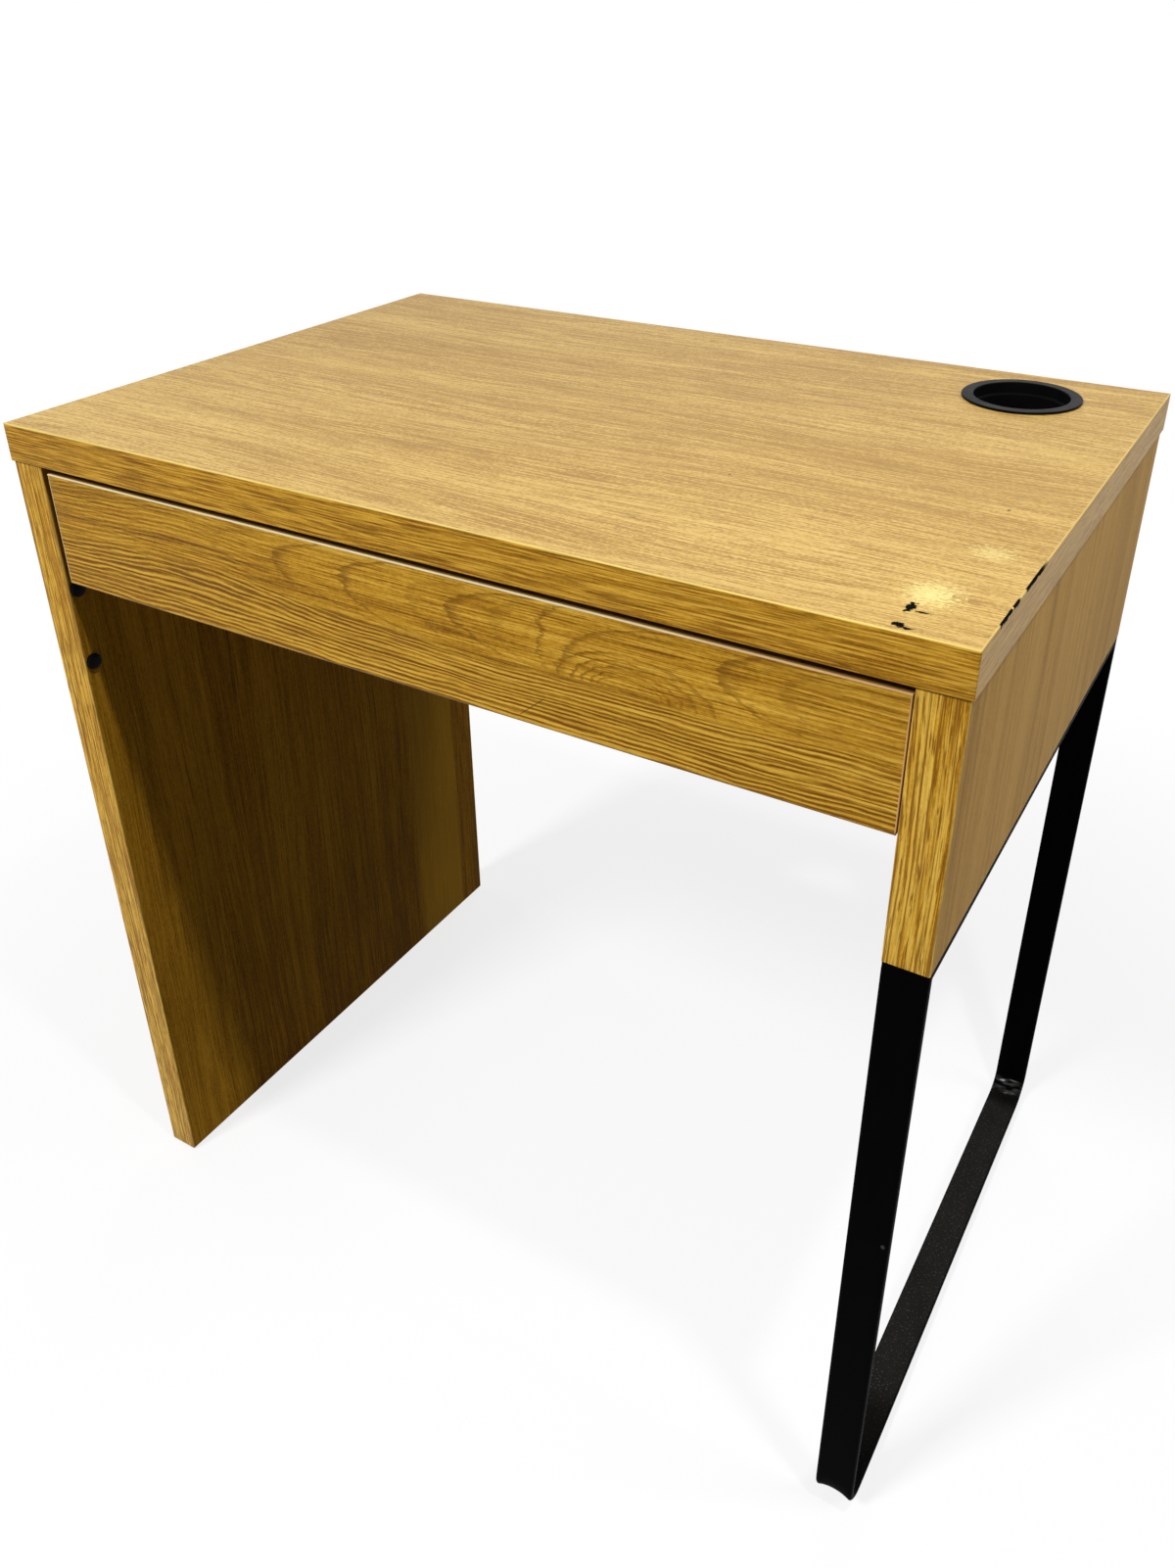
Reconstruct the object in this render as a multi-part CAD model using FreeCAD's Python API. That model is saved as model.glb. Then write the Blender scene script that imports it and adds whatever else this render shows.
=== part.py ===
import FreeCAD, Part
import math
import os

# A small office desk. Thick oak-effect boards make the top, a full left side and a short right side.
# The short side stands on a loop of bent steel tube, and one drawer slides under the top.
# Sizes are millimetres. The origin is on the floor under the middle of the top:
# +X points to the right, -Y to the front, +Z up.

# Whole desk
desk_width = 730.0
desk_depth = 500.0
desk_height = 750.0

# Boards of the carcase
top_thickness = 29.0
side_thickness = 29.0
side_overhang = 1.5          # the top past each side panel
front_setback = 1.5          # the side panels behind the top's front edge
rear_setback = 2.0           # the side panels ahead of the top's rear edge
short_side_height = 180.0
back_thickness = 16.0
shelf_thickness = 16.0
cable_space_depth = 124.0    # behind the back panel, open to the rear
edge_strip = 1.0             # thickness of the strips on the boards' edges
edge_round = 0.8             # rounding on the outer corners of those strips

# Cable outlet in the rear right of the top
outlet_from_right = 97.0     # the outlet's centre from the top's right end
outlet_from_rear = 68.0
outlet_flange_diameter = 90.0
outlet_flange_height = 2.0
outlet_mouth_diameter = 72.0
outlet_bore_diameter = 68.0
outlet_ledge_depth = 9.0     # where the mouth steps in to the bore
outlet_wall = 3.0            # sleeve wall round the mouth
outlet_sleeve_depth = 25.0
outlet_bevel = 1.0           # on the rim of the flange

# Drawer
drawer_gap_top = 5.0
drawer_gap_left = 5.5        # the front hangs a little to the right of the middle
drawer_gap_right = 0.9
drawer_front_height = 88.0
drawer_front_thickness = 16.0
drawer_front_setback = 0.5   # behind the side panels' front edges
drawer_front_strip = 0.8
drawer_front_round = 0.5
drawer_side_thickness = 12.0
drawer_side_rise = 6.0       # bottom of the sides above the bottom of the front
drawer_rim_drop = 12.0       # top of the sides below the top of the front
drawer_rear_gap = 12.0       # from the drawer to the back panel
drawer_bottom_thickness = 3.0
drawer_bottom_rise = 6.0     # the bottom board above the lower edge of the sides
groove_depth = 6.0

# Slides: a channel on the side panel and a smaller one on the drawer
slide_gap = 12.5             # from the side panel to the drawer's side
slide_height = 35.0
slide_rise = 26.0            # middle of the slide above the lower edge of the drawer's side
slide_sheet = 1.2
slide_fold = 1.6             # outer radius of the folded corners
slide_clearance = 0.3        # under and over the inner channel
slide_side_gap = 1.5         # from a channel's open side to the board that it faces
slide_end_gap = 6.0          # from the drawer front to the slides
slide_rear_gap = 22.0        # from the drawer's rear end to the slides
slide_overlap = 60.0         # what stays engaged with the drawer pulled out
stop_height = 14.0
stop_reach = 7.0
stop_inset = 6.0             # from the outer channel's front end to its stop
stop_gap = 0.3

# Leg loop of flat rectangular tube
tube_thickness = 8.0
tube_wall = 1.2
tube_corner = 2.2
bend_radius = 15.0           # on the inside of the bend
saddle_angle = 30.0          # slope of the sunken outer wall beside its lips, in the middle of a bend
saddle_lead = 14.0           # how far the hollow runs on into the straight tube
swell_angle = 9.0            # slope of the swollen inner wall in the middle of a bend
leg_plate = 5.0              # flat plate across the tops of the uprights

# Feet
glide_height = 3.0
glide_diameter = 20.0
glide_inset = 60.0           # from the ends of the panel or the loop
nail_diameter = 2.2
nail_length = 14.0
peg_diameter = 6.0
peg_length = 5.0

# Round black caps in the inner face of the left panel
cap_diameter = 13.0
cap_height = 4.0
cap_bevel = 0.8              # round the edge of the cap's face
cap_peg_diameter = 6.0
cap_peg_length = 10.0
cap_from_front = 8.0
cap_drop = 9.0               # the upper cap's middle below the drawer front
cap_pitch = 64.0

# Knock-down fittings
cam_diameter = 15.0
cam_distance = 34.0          # from the joint to the middle of the cam
cam_bolt_depth = 8.0         # from the face with the cam to the bolt
cam_floor = 0.6
cam_slot_width = 1.8
cam_slot_reach = 5.0         # from the cam's middle to the end of its slot
cam_slot_depth = 2.0
bolt_diameter = 6.0
bolt_neck_diameter = 4.0
bolt_neck_length = 3.0
bolt_head_diameter = 6.6
bolt_head_length = 2.6
bolt_thread_length = 11.0
bolt_room = 0.6
dowel_diameter = 8.0
dowel_length = 30.0
fitting_inset = 50.0         # cams from the ends of a joint
back_dowel_rise = 50.0       # the back panel's lower dowels above its lower edge
dowel_step = 32.0            # from a cam to the dowel beside it
shelf_cam_from_rear = 58.0
back_dowel_spacing = 400.0
shelf_dowel_spacing = 260.0
fit = 0.1                    # clearance round fittings in their holes

# Screws
slide_screw_diameter = 3.5
slide_screw_length = 9.0
slide_screw_front_inset = 50.0
slide_screw_rear_inset = 25.0
screw_head_diameter = 7.2
screw_head_height = 2.0
back_screw_diameter = 4.0
back_screw_length = 36.0
back_screw_inset = 16.0      # from the lower and upper edge of the drawer's side
leg_screw_diameter = 6.0
leg_screw_length = 24.0
leg_screw_head_diameter = 11.0
leg_screw_head_height = 3.0
leg_screw_spacing = 160.0
leg_screw_play = 0.3
insert_diameter = 10.0
insert_length = 20.0

# Small fittings are drawn with flat sides: fine ones with few, those with an open face with more
fine_sides = 6
dowel_sides = 8
open_sides = 12
cap_sides = 20
glide_sides = 20

# Places worked out from the sizes above
Vector = FreeCAD.Vector
RIGHT = Vector(1, 0, 0)
BACK = Vector(0, 1, 0)
UP = Vector(0, 0, 1)

outer_x = desk_width / 2 - side_overhang
inner_x = outer_x - side_thickness
front_y = -desk_depth / 2 + front_setback
rear_y = desk_depth / 2 - rear_setback
under_z = desk_height - top_thickness
short_z = under_z - short_side_height
shelf_front_y = rear_y - cable_space_depth
back_front_y = shelf_front_y - back_thickness

outlet_x = desk_width / 2 - outlet_from_right
outlet_y = desk_depth / 2 - outlet_from_rear
outlet_sleeve_diameter = outlet_mouth_diameter + 2 * outlet_wall

drawer_left_x = -inner_x + drawer_gap_left
drawer_right_x = inner_x - drawer_gap_right
drawer_top_z = under_z - drawer_gap_top
drawer_low_z = drawer_top_z - drawer_front_height
drawer_front_y = front_y + drawer_front_setback
drawer_box_y = drawer_front_y + drawer_front_thickness
drawer_rear_y = back_front_y - drawer_rear_gap
drawer_back_y = drawer_rear_y - drawer_side_thickness
drawer_outer_x = inner_x - slide_gap
drawer_inner_x = drawer_outer_x - drawer_side_thickness
drawer_side_z = drawer_low_z + drawer_side_rise
drawer_rim_z = drawer_top_z - drawer_rim_drop
groove_z = drawer_side_z + drawer_bottom_rise

slide_z = drawer_side_z + slide_rise
slide_front_y = drawer_box_y + slide_end_gap
slide_rear_y = drawer_rear_y - slide_rear_gap
drawer_travel = slide_rear_y - slide_front_y - slide_overlap

tube_width = side_thickness
leg_x = outer_x - tube_width / 2
leg_top_z = short_z
leg_low_z = glide_height
outer_bend = bend_radius + tube_thickness

cam_bore = bolt_head_diameter / 2 + fit

# What each board loses to its fittings
holes = {}


def drill(board, *cutters):
    """Keep shapes that are cut from a board when it is made."""
    holes.setdefault(board, []).extend(cutters)


def box(x0, x1, y0, y1, z0, z1):
    """Block between two bounds each way, given in either order."""
    low = Vector(min(x0, x1), min(y0, y1), min(z0, z1))
    return Part.makeBox(abs(x1 - x0), abs(y1 - y0), abs(z1 - z0), low)


def rod(diameter, start, end):
    return Part.makeCylinder(diameter / 2, (end - start).Length, start, end - start)


def bar(sides, diameter, start, end):
    """Straight bar with flat sides, its corners on the given diameter."""
    along = end - start
    across = UP.cross(along) if abs(along.z) < 0.5 * along.Length else BACK.cross(along)
    across.normalize()
    over = along.cross(across)
    over.normalize()
    corners = []
    for step in range(sides + 1):
        angle = 2 * math.pi * (step % sides + 0.5) / sides
        corners.append(start + (across * math.cos(angle) + over * math.sin(angle)) * (diameter / 2))
    return Part.Face(Part.makePolygon(corners)).extrude(along)


def mirrored(shape):
    """The same piece for the other side of the desk."""
    return shape.mirror(Vector(0, 0, 0), RIGHT)


def long_edges(shape, along, test):
    """Straight edges that run along a direction and whose middle passes a test."""
    found = []
    for edge in shape.Edges:
        if len(edge.Vertexes) < 2:
            continue
        span = edge.Vertexes[1].Point - edge.Vertexes[0].Point
        if abs(span.dot(along)) > 0.99 * span.Length and test(edge.CenterOfMass):
            found.append(edge)
    return found


def drilled(name, board):
    if name in holes:
        board = board.cut(holes[name])
    return board


def save(name, pieces):
    """Write one node, a single solid or a group of equal ones."""
    shape = pieces if not isinstance(pieces, list) else Part.makeCompound(pieces)
    shape.exportStep("parts/%s.step" % name)


# Fittings

cam_bolts = []
cam_locks = []
dowels = []
drawer_cam_bolts = []
drawer_cam_locks = []
drawer_dowels = []


def cam_bolt(point, along):
    """Bolt with its thread in one board and its head a cam's distance into the next."""
    head_end = point + along * (cam_distance + bolt_head_length / 2)
    head_start = head_end - along * bolt_head_length
    neck_start = head_start - along * bolt_neck_length
    shank = bar(fine_sides, bolt_diameter, point - along * bolt_thread_length, neck_start)
    neck = bar(fine_sides, bolt_neck_diameter, neck_start, head_start)
    head = bar(fine_sides, bolt_head_diameter, head_start, head_end)
    return shank.multiFuse([neck, head])


def cam_lock(centre, along, inward, depth):
    """Round cam let in from a face, hollow towards the bolt and slotted for a screwdriver."""
    face = centre - inward * depth
    body = bar(open_sides, cam_diameter, face, face + inward * (depth + cam_bore + cam_floor))
    hollow = bar(fine_sides, 2 * cam_bore, centre - along * cam_diameter,
                 centre + along * bolt_head_length)
    across = along.cross(inward)
    run = along * (2 * cam_slot_reach)
    side = across * cam_slot_width
    corner = face - run * 0.5 - side * 0.5
    slot = Part.makePolygon([corner, corner + run, corner + run + side, corner + side, corner])
    return body.cut([hollow, Part.Face(slot).extrude(inward * cam_slot_depth)])


def cam_joint(bolts, locks, threaded, gripped, point, along, inward, depth):
    """A bolt screwed into one board and gripped by a cam in the board that meets it."""
    centre = point + along * cam_distance
    face = centre - inward * depth
    length = depth + cam_bore + cam_floor
    bolts.append(cam_bolt(point, along))
    locks.append(cam_lock(centre, along, inward, depth))
    thread_end = point - along * (bolt_thread_length + fit)
    drill(threaded, bar(fine_sides, bolt_diameter + 2 * fit, point, thread_end))
    drill(gripped, bar(fine_sides, bolt_head_diameter + 2 * bolt_room, point, centre))
    drill(gripped, bar(open_sides, cam_diameter + 2 * fit, face, face + inward * (length + fit)))


def dowel_joint(group, first, second, point, along):
    """A plain dowel, half in each of two boards."""
    half = dowel_length / 2
    group.append(bar(dowel_sides, dowel_diameter, point - along * half, point + along * half))
    reach = along * (half + fit)
    hole = bar(dowel_sides, dowel_diameter + 2 * fit, point - reach, point + reach)
    drill(first, hole)
    drill(second, hole)


def screw(point, along, diameter, length, head_diameter, head_height):
    """Flat-topped screw: the point is under its head, and it is driven along the direction."""
    head = bar(open_sides, head_diameter, point - along * head_height, point)
    return head.fuse(bar(fine_sides, diameter, point, point + along * length))


def screw_hole(point, along, diameter, length):
    return bar(fine_sides, diameter + 2 * fit, point, point + along * (length + fit))


def carcase_fittings():
    sides = (("left_panel", -1), ("right_panel", 1))
    front_end = front_y + fitting_inset
    rear_end = rear_y - fitting_inset
    for panel, side in sides:
        # Top on the side panels
        x = side * (inner_x + cam_bolt_depth)
        for y, step in ((front_end, dowel_step), (rear_end, -dowel_step)):
            cam_joint(cam_bolts, cam_locks, "top_panel", panel, Vector(x, y, under_z), -UP,
                      RIGHT * side, cam_bolt_depth)
            middle_x = side * (inner_x + side_thickness / 2)
            dowel_joint(dowels, "top_panel", panel, Vector(middle_x, y + step, under_z), UP)
        # Back panel and shelf between the side panels
        cam_joint(cam_bolts, cam_locks, panel, "back_panel",
                  Vector(side * inner_x, shelf_front_y - cam_bolt_depth, under_z - fitting_inset),
                  RIGHT * -side, -BACK, cam_bolt_depth)
        dowel_joint(dowels, panel, "back_panel",
                    Vector(side * inner_x, back_front_y + back_thickness / 2, short_z + back_dowel_rise),
                    RIGHT)
        cam_joint(cam_bolts, cam_locks, panel, "cable_shelf",
                  Vector(side * inner_x, rear_y - shelf_cam_from_rear, short_z + cam_bolt_depth),
                  RIGHT * -side, UP, cam_bolt_depth)
        # Dowels from the back panel into the top and from the shelf into the back panel
        dowel_joint(dowels, "top_panel", "back_panel",
                    Vector(side * back_dowel_spacing / 2, back_front_y + back_thickness / 2, under_z), UP)
        dowel_joint(dowels, "back_panel", "cable_shelf",
                    Vector(side * shelf_dowel_spacing / 2, shelf_front_y, short_z + shelf_thickness / 2),
                    BACK)


def drawer_fittings():
    middle_x = drawer_outer_x - drawer_side_thickness / 2
    for board, side in (("drawer_left_side", -1), ("drawer_right_side", 1)):
        point = Vector(side * middle_x, drawer_box_y, (drawer_side_z + drawer_rim_z) / 2)
        cam_joint(drawer_cam_bolts, drawer_cam_locks, "drawer_front", board, point, BACK,
                  RIGHT * side, drawer_side_thickness / 2)
        dowel_joint(drawer_dowels, "drawer_front", board,
                    Vector(side * middle_x, drawer_box_y, drawer_rim_z - back_screw_inset), BACK)


# Boards with their edge strips

def top_board():
    core = box(-desk_width / 2 + edge_strip, desk_width / 2 - edge_strip,
               -desk_depth / 2 + edge_strip, desk_depth / 2 - edge_strip, under_z, desk_height)
    hole = rod(outlet_sleeve_diameter + 2 * fit, Vector(outlet_x, outlet_y, under_z),
               Vector(outlet_x, outlet_y, desk_height))
    save("top_panel", drilled("top_panel", core.cut(hole)))

    # The front and rear strips run the whole width, and the end strips stand between them
    for name, side in (("top_front_edge", -1), ("top_rear_edge", 1)):
        face_y = side * desk_depth / 2
        strip = box(-desk_width / 2, desk_width / 2, face_y, face_y - side * edge_strip,
                    under_z, desk_height)
        on_face = lambda p: abs(p.y - face_y) < 1e-6
        corners = long_edges(strip, RIGHT, on_face) + long_edges(strip, UP, on_face)
        save(name, strip.makeFillet(edge_round, corners))
    for name, side in (("top_left_edge", -1), ("top_right_edge", 1)):
        face_x = side * desk_width / 2
        strip = box(face_x, face_x - side * edge_strip,
                    -desk_depth / 2 + edge_strip, desk_depth / 2 - edge_strip, under_z, desk_height)
        corners = long_edges(strip, BACK, lambda p: abs(p.x - face_x) < 1e-6)
        save(name, strip.makeFillet(edge_round, corners))


def panel_strip(x0, x1, face_y, inward, low_z):
    """Upright strip on the front or rear edge of a side panel."""
    strip = box(x0, x1, face_y, face_y + inward * edge_strip, low_z, under_z)
    return strip.makeFillet(edge_round, long_edges(strip, UP, lambda p: abs(p.y - face_y) < 1e-6))


def side_panels():
    for name, x0, x1, low_z, strip_z in (
        ("left_panel", -outer_x, -inner_x, glide_height, glide_height),
        ("right_panel", inner_x, outer_x, short_z, short_z + edge_strip),
    ):
        core = box(x0, x1, front_y + edge_strip, rear_y - edge_strip, strip_z, under_z)
        save(name, drilled(name, core))
        save(name + "_front_edge", panel_strip(x0, x1, front_y, 1, low_z))
        save(name + "_rear_edge", panel_strip(x0, x1, rear_y, -1, low_z))
    strip = box(inner_x, outer_x, front_y + edge_strip, rear_y - edge_strip,
                short_z, short_z + edge_strip)
    strip = strip.makeFillet(edge_round, long_edges(strip, BACK, lambda p: abs(p.z - short_z) < 1e-6))
    save("right_panel_bottom_edge", drilled("right_panel_bottom_edge", strip))


def back_and_shelf():
    back = box(-inner_x, inner_x, back_front_y, shelf_front_y, short_z, under_z)
    save("back_panel", drilled("back_panel", back))
    board_end = rear_y - edge_strip
    shelf = box(-inner_x, inner_x, shelf_front_y, board_end, short_z, short_z + shelf_thickness)
    save("cable_shelf", drilled("cable_shelf", shelf))
    strip = box(-inner_x, inner_x, board_end, rear_y, short_z, short_z + shelf_thickness)
    strip = strip.makeFillet(edge_round, long_edges(strip, RIGHT, lambda p: abs(p.y - rear_y) < 1e-6))
    save("cable_shelf_edge", strip)


def cable_outlet():
    """Flanged sleeve turned from one profile, with a ledge inside for a lid."""
    sleeve = outlet_sleeve_diameter / 2
    flange = outlet_flange_diameter / 2
    mouth = outlet_mouth_diameter / 2
    bore = outlet_bore_diameter / 2
    top_z = desk_height + outlet_flange_height
    ledge_z = top_z - outlet_ledge_depth
    low_z = desk_height - outlet_sleeve_depth
    outline = [
        (bore, low_z), (sleeve, low_z), (sleeve, desk_height), (flange, desk_height),
        (flange, top_z - outlet_bevel), (flange - outlet_bevel, top_z),
        (mouth, top_z), (mouth, ledge_z), (bore, ledge_z), (bore, low_z),
    ]
    face = Part.Face(Part.makePolygon([Vector(r, 0, z) for r, z in outline]))
    outlet = face.revolve(Vector(0, 0, 0), UP, 360)
    outlet.translate(Vector(outlet_x, outlet_y, 0))
    save("cable_outlet", outlet)


def hole_caps():
    caps = []
    for step in (0, 1):
        seat = Vector(-inner_x, front_y + cap_from_front, drawer_low_z - cap_drop - step * cap_pitch)
        head = bar(cap_sides, cap_diameter, seat, seat + RIGHT * cap_height)
        face = max(head.Faces, key=lambda side: side.CenterOfMass.x)
        head = head.makeChamfer(cap_bevel, face.Edges)
        peg = bar(dowel_sides, cap_peg_diameter, seat, seat - RIGHT * cap_peg_length)
        caps.append(head.fuse(peg).removeSplitter())
        peg_end = seat - RIGHT * (cap_peg_length + fit)
        drill("left_panel", bar(dowel_sides, cap_peg_diameter + 2 * fit, seat, peg_end))
    save("hole_caps", caps)


# Drawer

def drawer_boards():
    strip = drawer_front_strip
    x0, x1 = drawer_left_x, drawer_right_x
    z0, z1 = drawer_low_z, drawer_top_z
    y0, y1 = drawer_front_y, drawer_box_y
    groove_top = groove_z + drawer_bottom_thickness + 2 * fit
    tongue = groove_depth - fit

    front = box(x0 + strip, x1 - strip, y0, y1, z0 + strip, z1 - strip)
    groove = box(-drawer_inner_x - groove_depth, drawer_inner_x + groove_depth, y1 - groove_depth, y1,
                 groove_z, groove_top)
    save("drawer_front", drilled("drawer_front", front.cut(groove)))

    strips = []
    for rim_z, inner_z in ((z0, z0 + strip), (z1, z1 - strip)):
        rail = box(x0, x1, y0, y1, rim_z, inner_z)
        rim = long_edges(rail, RIGHT, lambda p: abs(p.z - rim_z) < 1e-6 and abs(p.y - y0) < 1e-6)
        strips.append(rail.makeFillet(drawer_front_round, rim))
    for rim_x, inner_rim_x in ((x0, x0 + strip), (x1, x1 - strip)):
        stile = box(rim_x, inner_rim_x, y0, y1, z0 + strip, z1 - strip)
        rim = long_edges(stile, UP, lambda p: abs(p.x - rim_x) < 1e-6 and abs(p.y - y0) < 1e-6)
        strips.append(stile.makeFillet(drawer_front_round, rim))
    save("drawer_front_edges", strips)

    for name, side in (("drawer_left_side", -1), ("drawer_right_side", 1)):
        inside = side * drawer_inner_x
        outside = side * drawer_outer_x
        board = box(inside, outside, y1, drawer_rear_y, drawer_side_z, drawer_rim_z)
        groove = box(inside, inside + side * groove_depth, y1, drawer_back_y + groove_depth,
                     groove_z, groove_top)
        save(name, drilled(name, board.cut(groove)))

    back = box(-drawer_inner_x, drawer_inner_x, drawer_back_y, drawer_rear_y, drawer_side_z, drawer_rim_z)
    groove = box(-drawer_inner_x, drawer_inner_x, drawer_back_y, drawer_back_y + groove_depth,
                 groove_z, groove_top)
    save("drawer_back", drilled("drawer_back", back.cut(groove)))

    bottom = box(-drawer_inner_x - tongue, drawer_inner_x + tongue, y1 - tongue, drawer_back_y + tongue,
                 groove_z + fit, groove_top - fit)
    save("drawer_bottom", bottom)


def drawer_back_screws():
    screws = []
    y = drawer_back_y + drawer_side_thickness / 2
    for board, side in (("drawer_left_side", -1), ("drawer_right_side", 1)):
        for z in (drawer_side_z + back_screw_inset, drawer_rim_z - back_screw_inset):
            head_seat = Vector(side * (drawer_outer_x - screw_head_height), y, z)
            inward = RIGHT * -side
            screws.append(screw(head_seat, inward, back_screw_diameter, back_screw_length,
                                screw_head_diameter, screw_head_height))
            hole = screw_hole(head_seat, inward, back_screw_diameter, back_screw_length)
            face = head_seat - inward * screw_head_height
            sink = bar(open_sides, screw_head_diameter + 2 * fit, head_seat, face)
            drill(board, hole, sink)
            drill("drawer_back", hole)
    save("drawer_back_screws", screws)


# Slides

def channel(back_x, open_x, half_height, y0, y1):
    """Folded steel channel with its web at one side and its flanges reaching to the other."""
    side = 1 if open_x > back_x else -1
    low, high = slide_z - half_height, slide_z + half_height
    web_x = back_x + side * slide_sheet
    body = box(back_x, open_x, y0, y1, low, high)
    body = body.makeFillet(slide_fold, long_edges(body, BACK, lambda p: abs(p.x - back_x) < 1e-6))
    return body.cut(box(web_x, open_x, y0, y1, low + slide_sheet, high - slide_sheet))


def slides():
    outer_half = slide_height / 2
    inner_half = outer_half - slide_sheet - slide_clearance
    web_x = inner_x - slide_sheet
    drawer_web_x = drawer_outer_x + slide_sheet
    outer_stop_y = slide_front_y + stop_inset
    inner_stop_y = outer_stop_y + slide_sheet + drawer_travel + stop_gap
    z0, z1 = slide_z - stop_height / 2, slide_z + stop_height / 2

    # Modelled on the right and mirrored to the left
    outer = channel(inner_x, drawer_outer_x + slide_side_gap, outer_half, slide_front_y, slide_rear_y)
    outer_stop = box(web_x, web_x - stop_reach, outer_stop_y, outer_stop_y + slide_sheet, z0, z1)
    inner = channel(drawer_outer_x, web_x - slide_clearance, inner_half, slide_front_y, slide_rear_y)
    inner_stop = box(drawer_web_x, drawer_web_x + stop_reach, inner_stop_y, inner_stop_y + slide_sheet,
                     z0, z1)

    outer_screws = []
    inner_screws = []
    for y in (slide_front_y + slide_screw_front_inset, slide_rear_y - slide_screw_rear_inset):
        for seat, along, group in (
            (Vector(web_x, y, slide_z), RIGHT, outer_screws),
            (Vector(drawer_web_x, y, slide_z), -RIGHT, inner_screws),
        ):
            group.append(screw(seat, along, slide_screw_diameter, slide_screw_length,
                               screw_head_diameter, screw_head_height))
            hole = screw_hole(seat, along, slide_screw_diameter, slide_screw_length)
            holes_right, holes_left = ("right_panel", "left_panel")
            if group is inner_screws:
                holes_right, holes_left = ("drawer_right_side", "drawer_left_side")
                inner = inner.cut(hole)
            else:
                outer = outer.cut(hole)
            drill(holes_right, hole)
            drill(holes_left, mirrored(hole))

    outer = outer.fuse(outer_stop).removeSplitter()
    inner = inner.fuse(inner_stop).removeSplitter()
    save("right_slide", outer)
    save("left_slide", mirrored(outer))
    save("drawer_right_slide", inner)
    save("drawer_left_slide", mirrored(inner))
    save("slide_screws", outer_screws + [mirrored(piece) for piece in outer_screws])
    save("drawer_slide_screws", inner_screws + [mirrored(piece) for piece in inner_screws])


# Leg loop

def tube_outline(inset, corner, sunk, place):
    """Section of the flat tube across its width, with the outer wall sunk and the inner wall swollen.

    Across is measured along X, and out from the middle of the bend. Place turns both into a point.
    The inset is measured inwards from the tube's skin, and sunk runs from 0 to 1.
    A corner of 0 leaves the section's corners sharp.
    """
    half = tube_width / 2 - inset
    low = bend_radius + inset
    high = outer_bend - inset
    slope = math.radians(saddle_angle) * sunk
    lift = math.radians(swell_angle) * sunk
    root_half = math.sqrt(0.5)

    def arc(a, b, c):
        return Part.Arc(place(*a), place(*b), place(*c)).toShape()

    def line(a, b):
        return Part.LineSegment(place(*a), place(*b)).toShape()

    def rounding(a, b, c):
        return [arc(a, b, c)] if corner > 0 else []

    # The lip turns past the top of the side wall until it meets the slope of the sunken wall
    lip_x = half - corner
    lip_z = high - corner
    lip_end = (lip_x - corner * math.sin(slope), lip_z + corner * math.cos(slope))
    turn = (math.pi / 2 + slope) / 2
    lip_middle = (lip_x + corner * math.cos(turn), lip_z + corner * math.sin(turn))
    sink = lip_end[0] * math.tan(slope / 2)
    swell = lip_x * math.tan(lift / 2)
    foot_z = low + corner
    foot_middle = (lip_x + corner * root_half, foot_z - corner * root_half)

    def flip(point):
        return (-point[0], point[1])

    if slope > 0:
        outer_wall = arc(lip_end, (0, lip_end[1] - sink), flip(lip_end))
        inner_wall = arc((-lip_x, low), (0, low - swell), (lip_x, low))
    else:
        outer_wall = line(lip_end, flip(lip_end))
        inner_wall = line((-lip_x, low), (lip_x, low))
    edges = [line((half, foot_z), (half, lip_z))]
    edges += rounding((half, lip_z), lip_middle, lip_end)
    edges += [outer_wall]
    edges += rounding(flip(lip_end), flip(lip_middle), (-half, lip_z))
    edges += [line((-half, lip_z), (-half, foot_z))]
    edges += rounding((-half, foot_z), flip(foot_middle), (-lip_x, low))
    edges += [inner_wall]
    edges += rounding((lip_x, low), foot_middle, (half, foot_z))
    return Part.Wire(edges)


def loop_skin(inset, corner):
    """The bent tube at one depth under its skin: two uprights, two bends and the run along the floor."""
    middle_y = (front_y + rear_y) / 2
    reach_y = (rear_y - front_y) / 2 - outer_bend
    bend_z = leg_low_z + outer_bend
    rise = UP * (leg_top_z - leg_plate - bend_z - saddle_lead)
    run = BACK * (2 * reach_y - 2 * saddle_lead)
    # Each station is the turn through the bend, the way along the straight tube and how deep the wall sinks
    stations = [(0, -1, 0.0), (0, 0, 0.4), (22.5, 0, 0.85), (45, 0, 1.0),
                (67.5, 0, 0.85), (90, 0, 0.4), (90, 1, 0.0)]
    pieces = []
    for start, side in ((180.0, -1), (270.0, 1)):
        centre = Vector(leg_x, middle_y + side * reach_y, bend_z)

        def section(turn, lead, sunk):
            angle = math.radians(start + turn)
            out = Vector(0, math.cos(angle), math.sin(angle))
            onward = Vector(0, -math.sin(angle), math.cos(angle)) * (lead * saddle_lead)

            def place(across, away):
                return centre + onward + RIGHT * across + out * away
            return tube_outline(inset, corner, sunk, place)

        pieces.append(Part.makeLoft([section(*station) for station in stations], True, True))
        if side < 0:
            pieces.append(Part.Face(section(0, -1, 0.0)).extrude(rise))
            pieces.append(Part.Face(section(90, 1, 0.0)).extrude(run))
        else:
            pieces.append(Part.Face(section(90, 1, 0.0)).extrude(rise))
    return pieces[0].multiFuse(pieces[1:])


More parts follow.
